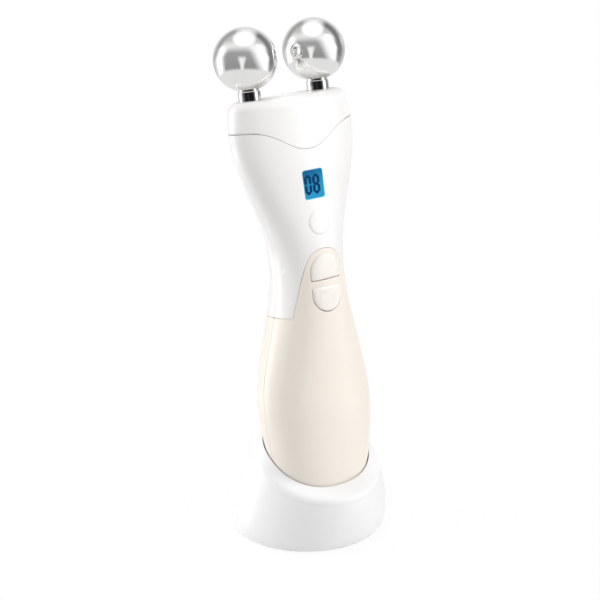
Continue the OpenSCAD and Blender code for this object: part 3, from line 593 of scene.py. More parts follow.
def rim_height(degrees):
    """Height on the handset where the slanted rim crosses it, found by repeated substitution."""
    z = 20
    for _ in range(6):
        y = skin(max(z, TOE_ROUND), degrees, -WELL_GAP).y
        z = (RIM_Z + RIM_SLOPE * (DOCK.y + y * math.cos(LEAN)) - DOCK.z + y * math.sin(LEAN)) / (
            math.cos(LEAN) - RIM_SLOPE * math.sin(LEAN))
    return z


def bend(start, corner, end, u):
    """A point on the smooth turn from start to end round a corner; u runs from 0 to 1."""
    return start * (1 - u) ** 2 + corner * 2 * u * (1 - u) + end * u * u


def cradle_cover(finish):
    """The cradle's shell: skirt, tapering wall, slanted lip, the well that takes the grip, and its holes."""
    heights = {a: rim_height(a) for a in AROUND}
    edge = {a: well_point(heights[a], a, WELL_GAP) for a in AROUND}
    foot = {a: wall_point(edge[a].z / MM - LIP, a) for a in AROUND}
    corner = {a: foot[a] + Vector((0, 0, LIP_ROUND)) * MM for a in AROUND}
    band = {a: edge[a] - corner[a] for a in AROUND}
    near = {a: corner[a] + band[a] * min(LIP_ROUND * MM / band[a].length, 0.5) for a in AROUND}
    far = {a: edge[a] - band[a].normalized() * CRISP * MM for a in AROUND}
    rings = []
    for t in (0, 22.5, 45, 67.5):
        up = math.sin(math.radians(t))
        rings.append([wall_point(SKIRT + up, a, round_in(1, 1 - up)) for a in AROUND])
    for i in range(33):
        rings.append([wall_point(SKIRT + 1 + (foot[a].z / MM - SKIRT - 1) * i / 32, a) for a in AROUND])
    for i in range(1, 13):
        rings.append([bend(foot[a], corner[a], near[a], i / 12) for a in AROUND])
    for i in range(1, 7):
        rings.append([near[a].lerp(far[a], i / 6) for a in AROUND])
    inner = {a: well_point(heights[a] - CRISP, a, WELL_GAP) for a in AROUND}
    for i in range(1, 5):
        rings.append([bend(far[a], edge[a], inner[a], i / 4) for a in AROUND])
    for i in range(1, 25):
        rings.append([well_point(heights[a] - CRISP + (WELL_FLOOR - heights[a] + CRISP) * i / 24, a, WELL_GAP)
                      for a in AROUND])
    depth = section(TOE_ROUND)[1]
    for i in range(1, 5):
        into, down = -WELL_GAP + (depth - TOE_ROUND) * i / 4, WELL_FLOOR - TOE_ROUND
        rings.append([docked(skin(TOE_ROUND, a, into) + Vector((0, 0, down))) for a in AROUND])
    beneath = [[wall_point(z, a, CRADLE_WALL) for a in AROUND] for z in (SKIRT, SKIRT + 12)]
    for i in range(6):
        into, down = -WELL_GAP - WALL + (depth - 1) * i / 6, WELL_FLOOR - TOE_ROUND - WALL
        beneath.append([docked(skin(TOE_ROUND, a, into) + Vector((0, 0, down))) for a in AROUND])
    holes = [rod(BARREL_R + 0.06, -1.2, 2, lambda x, y, h, s=s: docked((s * PIN_X + x, PIN_Y + y, h)))
             for s in (-1, 1)]
    holes.append(rod(INLET_HOLE_R, 20, 34, lambda x, y, h: Vector((x, h, INLET_Z + y)) * MM, 64))
    return make_piece("cradle_cover", [swept(beneath[::-1] + rings, True, True)], "cradle", finish,
                      "cradle_abs", replaces=["cradle_shell"], sharp=55, cutters=holes)


def base_plate(finish):
    """The cradle's underside: a disc with a broken edge, the foot ring's groove and four screw recesses."""
    low, high = PLATE_LOW, PLATE_LOW + PLATE_THICK
    profile = [(0.5, high), (PLATE_R, high), (PLATE_R, low + 0.3), (PLATE_R - 0.09, low + 0.09),
               (PLATE_R - 0.3, low), (FOOT_OUT + 0.25, low), (FOOT_OUT + 0.08, low + 0.15),
               (FOOT_OUT + 0.05, low + FOOT_SUNK), (FOOT_IN - 0.05, low + FOOT_SUNK),
               (FOOT_IN - 0.08, low + 0.15), (FOOT_IN - 0.25, low),
               (10, low), (9.8, low + 0.15), (9.3, low + 0.15), (9.1, low), (0.5, low)]
    holes = [rod(SCREW_HEAD_R + 0.17, -2, low + 1.4,
                 lambda x, y, h, b=b: Vector((b[0] + x, b[1] + y, h)) * MM) for b in BOSSES]
    disc = turned(profile, on_plate, 128, close_first=True, close_last=True)
    return make_piece("base_plate", [disc], "cradle", finish, "cradle_abs", replaces=["cradle_base_plate"],
                      sharp=50, cutters=holes)


def on_plate(x, y, h):
    return Vector((x, PLATE_Y + y, h)) * MM


def foot_ring(finish):
    """The rubber ring the cradle stands on: rounded edges and three shallow grip grooves in its face."""
    mid = (FOOT_OUT + FOOT_IN) / 2
    face = [(FOOT_IN + 0.4, 0)]
    for r in (mid - 1.6, mid, mid + 1.6):
        face += [(r - 0.35, 0), (r - 0.15, 0.25), (r + 0.15, 0.25), (r + 0.35, 0)]
    profile = [(FOOT_IN, FOOT_TOP), (FOOT_IN, 0.4), (FOOT_IN + 0.12, 0.12)] + face + [
        (FOOT_OUT - 0.4, 0), (FOOT_OUT - 0.12, 0.12), (FOOT_OUT, 0.4), (FOOT_OUT, FOOT_TOP)]
    return make_piece("foot_ring", [turned(profile + profile[:1], on_plate, 128)], "cradle", finish,
                      "foot_rubber", replaces=["cradle_foot_ring"], sharp=50)


def cross_edge(x, z):
    """A cross recess seen from its end, as a distance from its outline."""
    x, z, reach, half = abs(x), abs(z), 1.15, 0.26
    return min(max(x - reach, z - half), max(z - reach, x - half))


def screw_parts(place, turn, shank):
    """A pan-head screw with a cross recess: its head outwards at height 0, its shank towards -shank."""
    cross = ring_round(cross_edge, 0, 0, 96)

    def circle(r, h):
        return [place(r * math.sin(math.tau * i / 96), r * math.cos(math.tau * i / 96), h) for i in range(96)]

    def recess(size, h):
        c, s = math.cos(turn) * size, math.sin(turn) * size
        return [place(x * c - z * s, x * s + z * c, h) for x, z in cross]
    rim = 1.5
    outside = swept([circle(0.3, -shank), circle(SCREW_R - 0.1, -shank), circle(SCREW_R, -shank + 0.2),
                     circle(SCREW_R, -SCREW_HEAD), circle(SCREW_HEAD_R, -SCREW_HEAD),
                     circle(SCREW_HEAD_R, -0.3), circle(1.9, -0.12), circle(1.72, -0.03),
                     circle(rim, 0)], True)
    return [outside, swept([circle(rim, 0), recess(1.0, 0), recess(0.8, -0.55)], False, True)]


# ---- Controls, display and electrodes ----

def cap_on_skin(edge, centre, place, fit):
    """Rings of a cap that lies flush with the skin at its outline and stands proud inside, like a pillow.
    place turns the outline's z into a height on the handset. fit holds the width of the gap round the
    cap, the width of its rounding, and its seat: how far it sits up and to the right, which opens the
    gap at its lower left."""
    gap, border, seat = fit

    def ring(inset, proud):
        points = []
        for x, z in ring_round(edge, BUTTON_GAP - gap - inset, centre, CAP_POINTS):
            height = place(z) + seat
            on = skin(height, angle_at(x + seat, height))
            points.append(docked((on.x, on.y - proud, on.z)))
        return points
    rings = [ring(0, -2.1), ring(0, -0.03)]
    for i in range(17):
        rings.append(ring(border * i / 16, PROUD * math.sin(math.pi / 2 * i / 16)))
    return rings + [ring(inset, PROUD) for inset in (1.5, 2.1, 2.7, 3.0)]


def key_cap(name, edge_z, up, node, finish):
    """A key: its D outline, a broad rounded border and a crown that follows the grip."""
    rings = cap_on_skin(key_edge, KEY_MIDDLE, lambda z: edge_z + (z if up else -z), KEY_FIT)
    return make_piece(name, [swept(rings, False, True)], node, finish, "cream_abs", replaces=[node])


def power_cap(finish):
    """The power button: a round cap, a touch proud of the shell."""
    rings = cap_on_skin(button_edge, 0, lambda z: POWER_Z + z, POWER_FIT)
    return make_piece("power_cap", [swept(rings, False, True)], "power_button", finish, "white_abs",
                      replaces=["power_button"])


def under_ball(side, height=0):
    """Puts points round a ball's axis; heights count from this height on the handset."""
    return lambda x, y, h: docked((side * BALL_X + x, BALL_Y + y, height + h))


def ball(side, finish):
    """A chromed ball, cut flat where it stands on its neck."""
    flat = -math.sqrt(BALL_R ** 2 - NECK_R ** 2)
    start = math.degrees(math.asin(flat / BALL_R))
    profile = [(SPIGOT_R, flat + 0.02), (NECK_R - 0.12, flat + 0.02), (NECK_R - 0.04, flat + 0.06)]
    profile += [(BALL_R * math.cos(math.radians(t)), BALL_R * math.sin(math.radians(t)))
                for t in [start + 0.8 + (89.2 - start) * i / 90 for i in range(90)]]
    word = "left" if side < 0 else "right"
    body = turned(profile, under_ball(side, BALL_Z), 144, close_last=True)
    return make_piece(f"ball_{word}", [body], "head", finish, "chrome_plate",
                      replaces=[f"electrode_ball_{word}"])


def neck(side, finish):
    """A neck: a plain collar with a bevelled top, and the narrow groove under its ball."""
    top, foot, groove_r = BALL_Z - math.sqrt(BALL_R ** 2 - NECK_R ** 2), HEAD_TOP - 0.02, NECK_R - 0.42
    shank = [(0.4, SHANK_END), (SHANK_R - 0.1, SHANK_END), (SHANK_R, SHANK_END + 0.2), (SHANK_R, foot)]
    profile = shank + [(NECK_R - 0.1, foot), (NECK_R, HEAD_TOP + 0.12), (NECK_R, top - 0.78),
                       (NECK_R - 0.03, top - 0.7), (NECK_R - 0.33, top - 0.4), (groove_r, top - 0.36),
                       (groove_r, top), (SPIGOT_R - 0.02, top)]
    word = "left" if side < 0 else "right"
    body = turned(profile, under_ball(side), 96, close_first=True)
    return make_piece(f"neck_{word}", [body], "head", finish, "chrome_plate",
                      replaces=[f"electrode_neck_{word}"], sharp=35)


WINDOW_Y = 0.08 - front_at(WINDOW_Z)      # the window's face, a hair behind the shell's front
WINDOW_DEPTH = 1.5


def display_face(finish, rim_finish):
    """The display's face, bonded behind its window, and the window's bevelled rim that pipes its light."""
    def ring(inset, back):
        outline = ring_round(window_edge, -inset, 0, WINDOW_POINTS)
        return [docked((x, WINDOW_Y + back, WINDOW_Z + z)) for x, z in outline]
    rings = [ring(RIM_WIDTH, WINDOW_DEPTH), ring(RIM_WIDTH, 0)] + [ring(inset, 0) for inset in (1, 2, 3, 4)]
    make_piece("display_face", [swept(rings, True, True)], "handset", finish, "window_acrylic",
               replaces=["display_window"], sharp=60)
    rings = [ring(0, WINDOW_DEPTH), ring(0, 0.2), ring(0.04, 0.08), ring(0.12, 0.01), ring(0.2, 0),
             ring(RIM_WIDTH, 0), ring(RIM_WIDTH, WINDOW_DEPTH)]
    make_piece("display_rim", [swept(rings + rings[:1])], "handset", rim_finish, "window_acrylic",
               replaces=["display_window"], sharp=60)


def digits(finish):
    """The display's two figures, from straight segments with mitred ends."""
    y, width, height, stroke = WINDOW_Y - 0.006, 3.15, 7.2, 1.12
    middle, thickness, half_gap = WINDOW_Z - 0.05, 0.04, 0.04
    left, right = (-2.42, "abcdef"), (1.12, "abcdefg")
    ends = {"a": (-1, 1, 1, 1), "b": (1, 1, 1, 0), "c": (1, 0, 1, -1), "d": (1, -1, -1, -1),
            "e": (-1, -1, -1, 0), "f": (-1, 0, -1, 1), "g": (-1, 0, 1, 0)}
    parts = []
    for centre, lit in (left, right):
        for x0, z0, x1, z1 in (ends[name] for name in lit):
            reach = Vector(((width - stroke) / 2, (height - stroke) / 2))
            start = Vector((centre + x0 * reach.x, middle + z0 * reach.y))
            end = Vector((centre + x1 * reach.x, middle + z1 * reach.y))
            along = (end - start).normalized()
            across = Vector((-along.y, along.x)) * stroke / 2
            tip, cut = along * half_gap, along * stroke / 2
            outline = [start + tip, start + cut + across, end - cut + across, end - tip,
                       end - cut - across, start + cut - across]
            parts.append(swept([[docked((c.x, y + d, c.y)) for c in outline] for d in (0, thickness)],
                               True, True))
    return make_piece("display_digits", parts, "handset", finish, "display_glass", sharp=30)


# ---- Materials ----

def linear(hex_colour):
    """sRGB hex to the linear values that the shaders use."""
    value = hex_colour.lstrip("#")
    parts = [int(value[i:i + 2], 16) / 255 for i in (0, 2, 4)]
    return tuple(p / 12.92 if p <= 0.04045 else ((p + 0.055) / 1.055) ** 2.4 for p in parts) + (1,)


def grey(value):
    return (value, value, value, 1)


def per(size_mm):
    """The scale at which a pattern's features are about size_mm across."""
    return 1000 / size_mm


def add(tree, kind, settings=None, links=None):
    """Adds a node. settings are its properties, the values of its sockets, or a ramp's stops; links are
    what feeds its sockets."""
    made = tree.nodes.new(kind)
    for key, value in (settings or {}).items():
        if key == "stops":
            bar = made.color_ramp
            while len(bar.elements) < len(value):
                bar.elements.new(0.5)
            for element, (place, colour) in zip(bar.elements, value):
                element.position, element.color = place, colour
        elif isinstance(key, str) and hasattr(made, key):
            setattr(made, key, value)
        else:
            made.inputs[key].default_value = value
    for key, source in (links or {}).items():
        tree.links.new(source if hasattr(source, "is_output") else source.outputs[0], made.inputs[key])
    return made


def bare_tree(owner):
    """The emptied shader tree of a material or a world."""
    owner.use_nodes = True
    owner.node_tree.nodes.clear()
    return owner.node_tree


def surface(name, settings):
    """A new material: its shader, and the object's own coordinates in metres."""
    material = bpy.data.materials.new(name)
    tree = bare_tree(material)
    shader = add(tree, "ShaderNodeBsdfPrincipled", settings)
    add(tree, "ShaderNodeOutputMaterial", {}, {"Surface": shader})
    return material, tree, shader, add(tree, "ShaderNodeTexCoord").outputs["Object"]


def feed(tree, shader, links):
    for key, source in links.items():
        tree.links.new(source.outputs[0], shader.inputs[key])


def moulded_abs(name, pale, deep, rough):
    """ABS, injection-moulded against a polished steel mould: an even gloss. The eye gets pigment that
    drifts by a hair, a polish that hands have worn unevenly, and the mould's faint orange peel."""
    material, tree, shader, where = surface(name, {"IOR": 1.53})
    drift = add(tree, "ShaderNodeTexNoise", {"Scale": per(45), "Detail": 0}, {"Vector": where})
    worn = add(tree, "ShaderNodeTexNoise", {"Scale": per(14), "Detail": 2}, {"Vector": where})
    # The peel is drawn about twice as coarse as the real one, so that it shows at all.
    peel = add(tree, "ShaderNodeTexNoise", {"Scale": per(1.6), "Detail": 1}, {"Vector": where})
    feed(tree, shader, {
        "Base Color": add(tree, "ShaderNodeValToRGB", {
            "stops": [(0.15, linear(deep)), (0.85, linear(pale))]}, {"Fac": drift}),
        "Roughness": add(tree, "ShaderNodeMapRange", {
            "From Min": 0.2, "From Max": 0.8, "To Min": rough, "To Max": rough + 0.04}, {"Value": worn}),
        "Normal": add(tree, "ShaderNodeBump", {"Distance": 0.002 * MM}, {"Height": peel})})
    return material


def chrome_plate():
    """Bright chrome, plated over a buffed ball: a mirror. The eye gets a breath of haze where fingers
    and skin touch it, and hairlines from wiping."""
    material, tree, shader, where = surface("chrome_plate", {"Metallic": 1.0})
    haze = add(tree, "ShaderNodeTexNoise", {"Scale": per(6), "Detail": 4}, {"Vector": where})
    wiped = add(tree, "ShaderNodeTexNoise", {"Scale": per(0.6), "Detail": 2},
                {"Vector": add(tree, "ShaderNodeMapping", {"Scale": (1, 1, 12)}, {"Vector": where})})
    feed(tree, shader, {
        "Base Color": add(tree, "ShaderNodeValToRGB", {
            "stops": [(0.3, linear("#EBEBEA")), (0.7, linear("#F1F1F0"))]}, {"Fac": haze}),
        "Roughness": add(tree, "ShaderNodeMapRange", {
            "From Min": 0.35, "From Max": 0.75, "To Min": 0.045, "To Max": 0.085}, {"Value": haze}),
        "Normal": add(tree, "ShaderNodeBump", {"Distance": 0.0004 * MM}, {"Height": wiped})})
    return material


def nickel_painted_reflection():
    """Nickel plate on the turned necks. Its colour is painted reflection and shade: almost black where it
    faces the eye, near white at a slant. It has the fine rings of the lathe."""
    material, tree, shader, where = surface("nickel_painted_reflection", {"Metallic": 1.0})
    tone = add(tree, "ShaderNodeTexNoise", {"Scale": per(2), "Detail": 2}, {"Vector": where})
    slant = add(tree, "ShaderNodeLayerWeight", {"Blend": 0.5}).outputs["Facing"]
    # Painted reflection and shade: how squarely the neck faces the eye darkens or whitens its colour
    painted_facing_shade = add(tree, "ShaderNodeMath", {"operation": "MULTIPLY_ADD", 1: 0.06}, {0: tone, 2: slant})
    rings = add(tree, "ShaderNodeTexNoise", {"Scale": per(0.5), "Detail": 2},
                {"Vector": add(tree, "ShaderNodeMapping", {"Scale": (0.05, 0.05, 1)}, {"Vector": where})})
    feed(tree, shader, {
        "Base Color": add(tree, "ShaderNodeValToRGB", {
            "stops": [(0.1, linear("#2E2D2D")), (0.26, linear("#E8E8E6"))]}, {"Fac": painted_facing_shade}),
        "Roughness": add(tree, "ShaderNodeMapRange", {
            "From Min": 0.3, "From Max": 0.7, "To Min": 0.02, "To Max": 0.05}, {"Value": tone}),
        "Normal": add(tree, "ShaderNodeBump", {"Distance": 0.0006 * MM}, {"Height": rings})})
    return material


def lit_display(name, dark, bright):
    """A liquid-crystal cell lit from behind, under a window coated against glare: it glows deep blue at
    its upper left and cyan at its lower right, where the lamp's light enters."""
    material, tree, shader, where = surface(name, {
        "Base Color": linear("#04141E"), "IOR": 1.49, "Specular IOR Level": 0.04, "Emission Strength": 1.0})
    axes = add(tree, "ShaderNodeSeparateXYZ", {}, {"Vector": where})
    high, low = 141.0, 130.6          # the display's upper and lower end in the docked device
    across = add(tree, "ShaderNodeMapRange", {"From Min": -WINDOW_SIDE * MM, "From Max": WINDOW_SIDE * MM},
                 {"Value": axes.outputs["X"]})
    down = add(tree, "ShaderNodeMapRange", {"From Min": high * MM, "From Max": low * MM},
               {"Value": axes.outputs["Z"]})
    cloudy = add(tree, "ShaderNodeTexNoise", {"Scale": per(2.5), "Detail": 2}, {"Vector": where})
    fall = add(tree, "ShaderNodeMath", {"operation": "MULTIPLY_ADD", 1: 0.35}, {0: across, 2: down})
    uneven = add(tree, "ShaderNodeMath", {"operation": "MULTIPLY_ADD", 1: 0.15}, {0: cloudy, 2: fall})
    feed(tree, shader, {
        "Emission Color": add(tree, "ShaderNodeValToRGB", {
            "stops": [(0.15, linear(dark)), (1.0, linear(bright))]}, {"Fac": uneven}),
        "Roughness": add(tree, "ShaderNodeMapRange", {"To Min": 0.2, "To Max": 0.35}, {"Value": cloudy})})
    return material


def crystal_segment():
    """Liquid crystal where it is switched on: it blocks most of the light, and some blue leaks through."""
    material, tree, shader, where = surface("crystal_segment", {
        "Base Color": linear("#03101C"), "IOR": 1.49, "Specular IOR Level": 0.04, "Emission Strength": 1.0})
    leak = add(tree, "ShaderNodeTexNoise", {"Scale": per(0.9), "Detail": 2}, {"Vector": where})
    feed(tree, shader, {
        "Emission Color": add(tree, "ShaderNodeValToRGB", {
            "stops": [(0.3, linear("#033258")), (0.7, linear("#063D68"))]}, {"Fac": leak}),
        "Roughness": add(tree, "ShaderNodeMapRange", {"To Min": 0.35, "To Max": 0.5}, {"Value": leak})})
    return material


def zinc_plate():
    """Steel, turned or rolled and zinc-plated: a cool grey metal with fine streaks, clouded where the
    plating was sealed."""
    material, tree, shader, where = surface("zinc_plate", {"Metallic": 1.0})
    streak = add(tree, "ShaderNodeTexNoise", {"Scale": per(1.5), "Detail": 4},
                 {"Vector": add(tree, "ShaderNodeMapping", {"Scale": (1, 8, 1)}, {"Vector": where})})
    feed(tree, shader, {
        "Base Color": add(tree, "ShaderNodeValToRGB", {
            "stops": [(0.3, linear("#A6A8AB")), (0.75, linear("#C4C6C8"))]}, {"Fac": streak}),
        "Roughness": add(tree, "ShaderNodeMapRange", {
            "From Min": 0.3, "From Max": 0.75, "To Min": 0.24, "To Max": 0.4}, {"Value": streak}),
        "Normal": add(tree, "ShaderNodeBump", {"Distance": 0.003 * MM}, {"Height": streak})})
    return material


def gold_plate():
    """Brass, turned and flashed with gold: warm and bright, duller where the contacts rub."""
    material, tree, shader, where = surface("gold_plate", {"Metallic": 1.0})
    rubbed = add(tree, "ShaderNodeTexNoise", {"Scale": per(1.2), "Detail": 4}, {"Vector": where})
    feed(tree, shader, {
        "Base Color": add(tree, "ShaderNodeValToRGB", {
            "stops": [(0.35, linear("#D6AF66")), (0.75, linear("#EBCB86"))]}, {"Fac": rubbed}),
        "Roughness": add(tree, "ShaderNodeMapRange", {
            "From Min": 0.35, "From Max": 0.75, "To Min": 0.34, "To Max": 0.16}, {"Value": rubbed})})
    return material


def eroded_plastic(name, deep, pale, rough):
    """Dark plastic from a spark-eroded mould: a fine, even grain that breaks up every highlight."""
    material, tree, shader, where = surface(name, {"IOR": 1.5})
    drift = add(tree, "ShaderNodeTexNoise", {"Scale": per(9), "Detail": 3}, {"Vector": where})
    grain = add(tree, "ShaderNodeTexNoise", {"Scale": per(0.35), "Detail": 2}, {"Vector": where})
    feed(tree, shader, {
        "Base Color": add(tree, "ShaderNodeValToRGB", {
            "stops": [(0.3, linear(deep)), (0.7, linear(pale))]}, {"Fac": drift}),
        "Roughness": add(tree, "ShaderNodeMapRange", {
            "From Min": 0.3, "From Max": 0.7, "To Min": rough, "To Max": rough + 0.12}, {"Value": grain}),
        "Normal": add(tree, "ShaderNodeBump", {"Distance": 0.02 * MM}, {"Height": grain})})
    return material


def soft_rubber(name, deep, pale, rough):
    """Silicone rubber or soft PVC, moulded or drawn: matt, with a tacky bloom that collects dust."""
    material, tree, shader, where = surface(name, {"IOR": 1.43})
    bloom = add(tree, "ShaderNodeTexNoise", {"Scale": per(4), "Detail": 4}, {"Vector": where})
    grain = add(tree, "ShaderNodeTexNoise", {"Scale": per(0.5), "Detail": 2}, {"Vector": where})
    feed(tree, shader, {
        "Base Color": add(tree, "ShaderNodeValToRGB", {
            "stops": [(0.3, linear(deep)), (0.7, linear(pale))]}, {"Fac": bloom}),
        "Roughness": add(tree, "ShaderNodeMapRange", {
            "From Min": 0.3, "From Max": 0.7, "To Min": rough, "To Max": rough + 0.15}, {"Value": bloom}),
        "Normal": add(tree, "ShaderNodeBump", {"Distance": 0.015 * MM}, {"Height": grain})})
    return material


def solder_mask():
    """Solder mask, printed over copper tracks on glass epoxy: glossy green, paler and raised where a
    track runs. The tracks are drawn 0.25 mm wide, a little coarser than real ones."""
    material, tree, shader, where = surface("solder_mask", {"IOR": 1.55})
    tracks = add(tree, "ShaderNodeTexBrick", {
        "Scale": 1.0, "Brick Width": 3.4 * MM, "Row Height": 1.3 * MM, "Mortar Size": 0.12 * MM,
        "Color1": linear("#1B5838"), "Color2": linear("#205F3F"), "Mortar": linear("#2F7A52")},
        {"Vector": add(tree, "ShaderNodeMapping", {"Rotation": (math.pi / 2, 0, 0)}, {"Vector": where})})
    flow = add(tree, "ShaderNodeTexNoise", {"Scale": per(3), "Detail": 3}, {"Vector": where})
    feed(tree, shader, {
        "Base Color": tracks,
        "Roughness": add(tree, "ShaderNodeMapRange", {"To Min": 0.22, "To Max": 0.4}, {"Value": flow}),
        "Normal": add(tree, "ShaderNodeBump", {"Distance": 0.03 * MM}, {"Height": tracks.outputs["Fac"]})})
    return material


def shrunk_film():
    """PVC film, shrunk round the battery: thin, glossy and blue, with small wrinkles from the heat."""
    material, tree, shader, where = surface("battery_film", {"IOR": 1.53})
    tone = add(tree, "ShaderNodeTexNoise", {"Scale": per(12), "Detail": 2}, {"Vector": where})
    wrinkle = add(tree, "ShaderNodeTexNoise", {"Scale": per(2.2), "Detail": 3},
                  {"Vector": add(tree, "ShaderNodeMapping", {"Scale": (1, 1, 0.25)}, {"Vector": where})})
    feed(tree, shader, {
        "Base Color": add(tree, "ShaderNodeValToRGB", {
            "stops": [(0.3, linear("#376592")), (0.7, linear("#4576A5"))]}, {"Fac": tone}),
        "Roughness": add(tree, "ShaderNodeMapRange", {"To Min": 0.2, "To Max": 0.34}, {"Value": wrinkle}),
        "Normal": add(tree, "ShaderNodeBump", {"Distance": 0.04 * MM}, {"Height": wrinkle})})
    return material


# ---- Camera and studio ----

AROUND_FRONT, ABOVE = math.radians(-36.04), math.radians(19.95)      # where the camera stands
TO_CAMERA = Vector((math.sin(AROUND_FRONT) * math.cos(ABOVE), -math.cos(AROUND_FRONT) * math.cos(ABOVE),
                    math.sin(ABOVE)))
RIGHT = Vector((math.cos(AROUND_FRONT), math.sin(AROUND_FRONT), 0))
UP = TO_CAMERA.cross(RIGHT)


PICTURE, FOCAL, CENTRE = 600, 1724.9, (331.43, 285.99)   # in pixels: width, focal length, optical centre
SENSOR = 36
AIM, AWAY = Vector((0, -0.0151, 0.1)), 0.622724


def camera():
    data = bpy.data.cameras.new("camera")
    data.sensor_width = SENSOR
    data.lens = FOCAL * SENSOR / PICTURE
    data.shift_x = (PICTURE / 2 - CENTRE[0]) / PICTURE
    data.shift_y = (CENTRE[1] - PICTURE / 2) / PICTURE
    data.clip_start, data.clip_end = 0.01, 50
    placed = place_new("camera", data)
    placed.location = AIM + TO_CAMERA * AWAY
    placed.rotation_mode = "QUATERNION"
    placed.rotation_quaternion = (-TO_CAMERA).to_track_quat("-Z", "Y")
    bpy.context.scene.camera = placed


def lamp(name, around, above, size, power):
    """A soft panel, placed by its angles from the camera's side of the object; mirrors don't see it."""
    data = bpy.data.lights.new(name, "AREA")
    data.shape = "RECTANGLE"
    data.size, data.size_y = size
    data.energy = power
    placed = place_new(name, data)
    a, e, distance = math.radians(around) + AROUND_FRONT, math.radians(above), 0.85
    out = Vector((math.sin(a) * math.cos(e), -math.cos(a) * math.cos(e), math.sin(e)))
    placed.location = Vector((0, 0, 0.1)) + out * distance
    placed.rotation_mode = "QUATERNION"
    placed.rotation_quaternion = (-out).to_track_quat("-Z", "Y")
    placed.visible_glossy = False


def rise(value, low, high):
    """0 below low, 1 above high, smooth between; the other way round where high is the smaller."""
    u = min(max((value - low) / (high - low), 0), 1)
    return u * u * (3 - 2 * u)


def wall_light(x, y):
    """How bright the studio is where a mirror ball shows it: x to the right and y up, 1 at its outline."""
    def over(under, level, share):
        return under + (level - under) * share
    r = math.hypot(x, y)
    level = 0.33 + 0.06 * rise(y, -0.3, 0.15)                              # far wall
    level = over(level, 0.93, rise(y, 0.12, 0.37))                         # the lit edge of its ceiling
    level = over(level, 0.60, rise(y, 0.36, 0.58))                         # and the dimmer ceiling above
    gap = rise(abs(x), 0.22, 0.36) * rise(y, -0.24, -0.06)                 # dark gaps beside the boxes
    if x < 0:
        level = over(level, 0.42, gap * rise(r, 0.74, 0.84) * rise(r, 0.97, 0.90))
    else:
        level = over(level, 0.23, gap * rise(r, 0.67, 0.78) * rise(r, 0.93, 0.83))
    level = over(level, 0.64 + 0.24 * rise(y, 0.2, 0.8), rise(r, 0.88, 0.97))          # white back wall
    top = math.hypot((x + 0.03) / 0.33, (y - 0.57) / 0.24)
    level = over(level, 0.98, rise(abs(x), 0.34, 0.05) * rise(y, 0.66, 0.78) * rise(y, 0.95, 0.86))
    level = over(level, 1.25, rise(top, 1.18, 0.72))                       # soft box overhead
    side = x + 0.775 - 0.13 * rise(y, 0.0, 0.32)
    strip = rise(y, 0.40, 0.27)
    level = over(level, 1.06, rise(abs(side), 0.21, 0.05) * strip)         # strip box on the left
    level = over(level, BOX, rise(abs(side), 0.08, 0.03) * strip)
    inner, outer = 0.46 - 0.5 * y, 0.745 - 0.16 * rise(y, 0.03, 0.36)
    box = rise(y, 0.46, 0.28)
    level = over(level, 1.15, rise(x, inner - 0.30, inner + 0.04) * rise(x, outer + 0.05, outer - 0.05) * box)
    level = over(level, BOX, rise(x, inner + 0.04, inner + 0.10) * rise(x, outer - 0.05, outer - 0.11) * box)
    spot = abs(x + 0.08) / (0.07 + 0.09 * rise(y, -0.32, 0.04))            # small reflector, narrow below
    level = over(level, 1.0, rise(spot, 1.1, 0.3) * rise(y, 0.08, -0.06))
    return over(level, 0.86, rise(y, -0.29, -0.40))                        # white table


def studio_walls():
    """The studio that the chrome mirrors, as one dome whose points carry their own brightness. Only
    reflections see it."""
    rows, cols, points, light = 121, 240, [], []
    for i in range(rows):
        down = math.pi * (i + 0.5) / rows
        for j in range(cols):
            a = math.tau * j / cols
            out = Vector((math.sin(down) * math.sin(a), math.sin(down) * math.cos(a), math.cos(down)))
            half = (out + TO_CAMERA).normalized()
            points.append(out)
            light.append(wall_light(half.dot(RIGHT), half.dot(UP)))
    mesh = bpy.data.meshes.new("studio_walls")
    rings = [points[i * cols:(i + 1) * cols] for i in range(rows)]
    mesh.from_pydata(points, [], swept(rings, True, True)[1])
    mesh.attributes.new("light", "FLOAT", "POINT").data.foreach_set("value", light)
    walls = place_new("studio_walls", mesh)
    walls.location = (0, 0, 0.165)             # its middle lies between the balls
    walls.visible_camera = walls.visible_diffuse = walls.visible_shadow = walls.visible_transmission = False
    material = bpy.data.materials.new("studio_walls")
    tree = bare_tree(material)
    own = add(tree, "ShaderNodeAttribute", {"attribute_name": "light"})
    glow = add(tree, "ShaderNodeEmission", {}, {"Strength": own.outputs["Fac"]})
    add(tree, "ShaderNodeOutputMaterial", {}, {"Surface": glow})
    mesh.materials.append(material)


def looked_at(tree):
    """1 where the camera or a mirror looks, straight or through a clear piece; 0 for plain lighting."""
    rays = add(tree, "ShaderNodeLightPath").outputs
    seen = add(tree, "ShaderNodeMath", {"operation": "MAXIMUM"},
               {0: rays["Is Camera Ray"], 1: rays["Is Glossy Ray"]})
    return add(tree, "ShaderNodeMath", {"operation": "MAXIMUM"}, {0: seen, 1: rays["Is Transmission Ray"]})


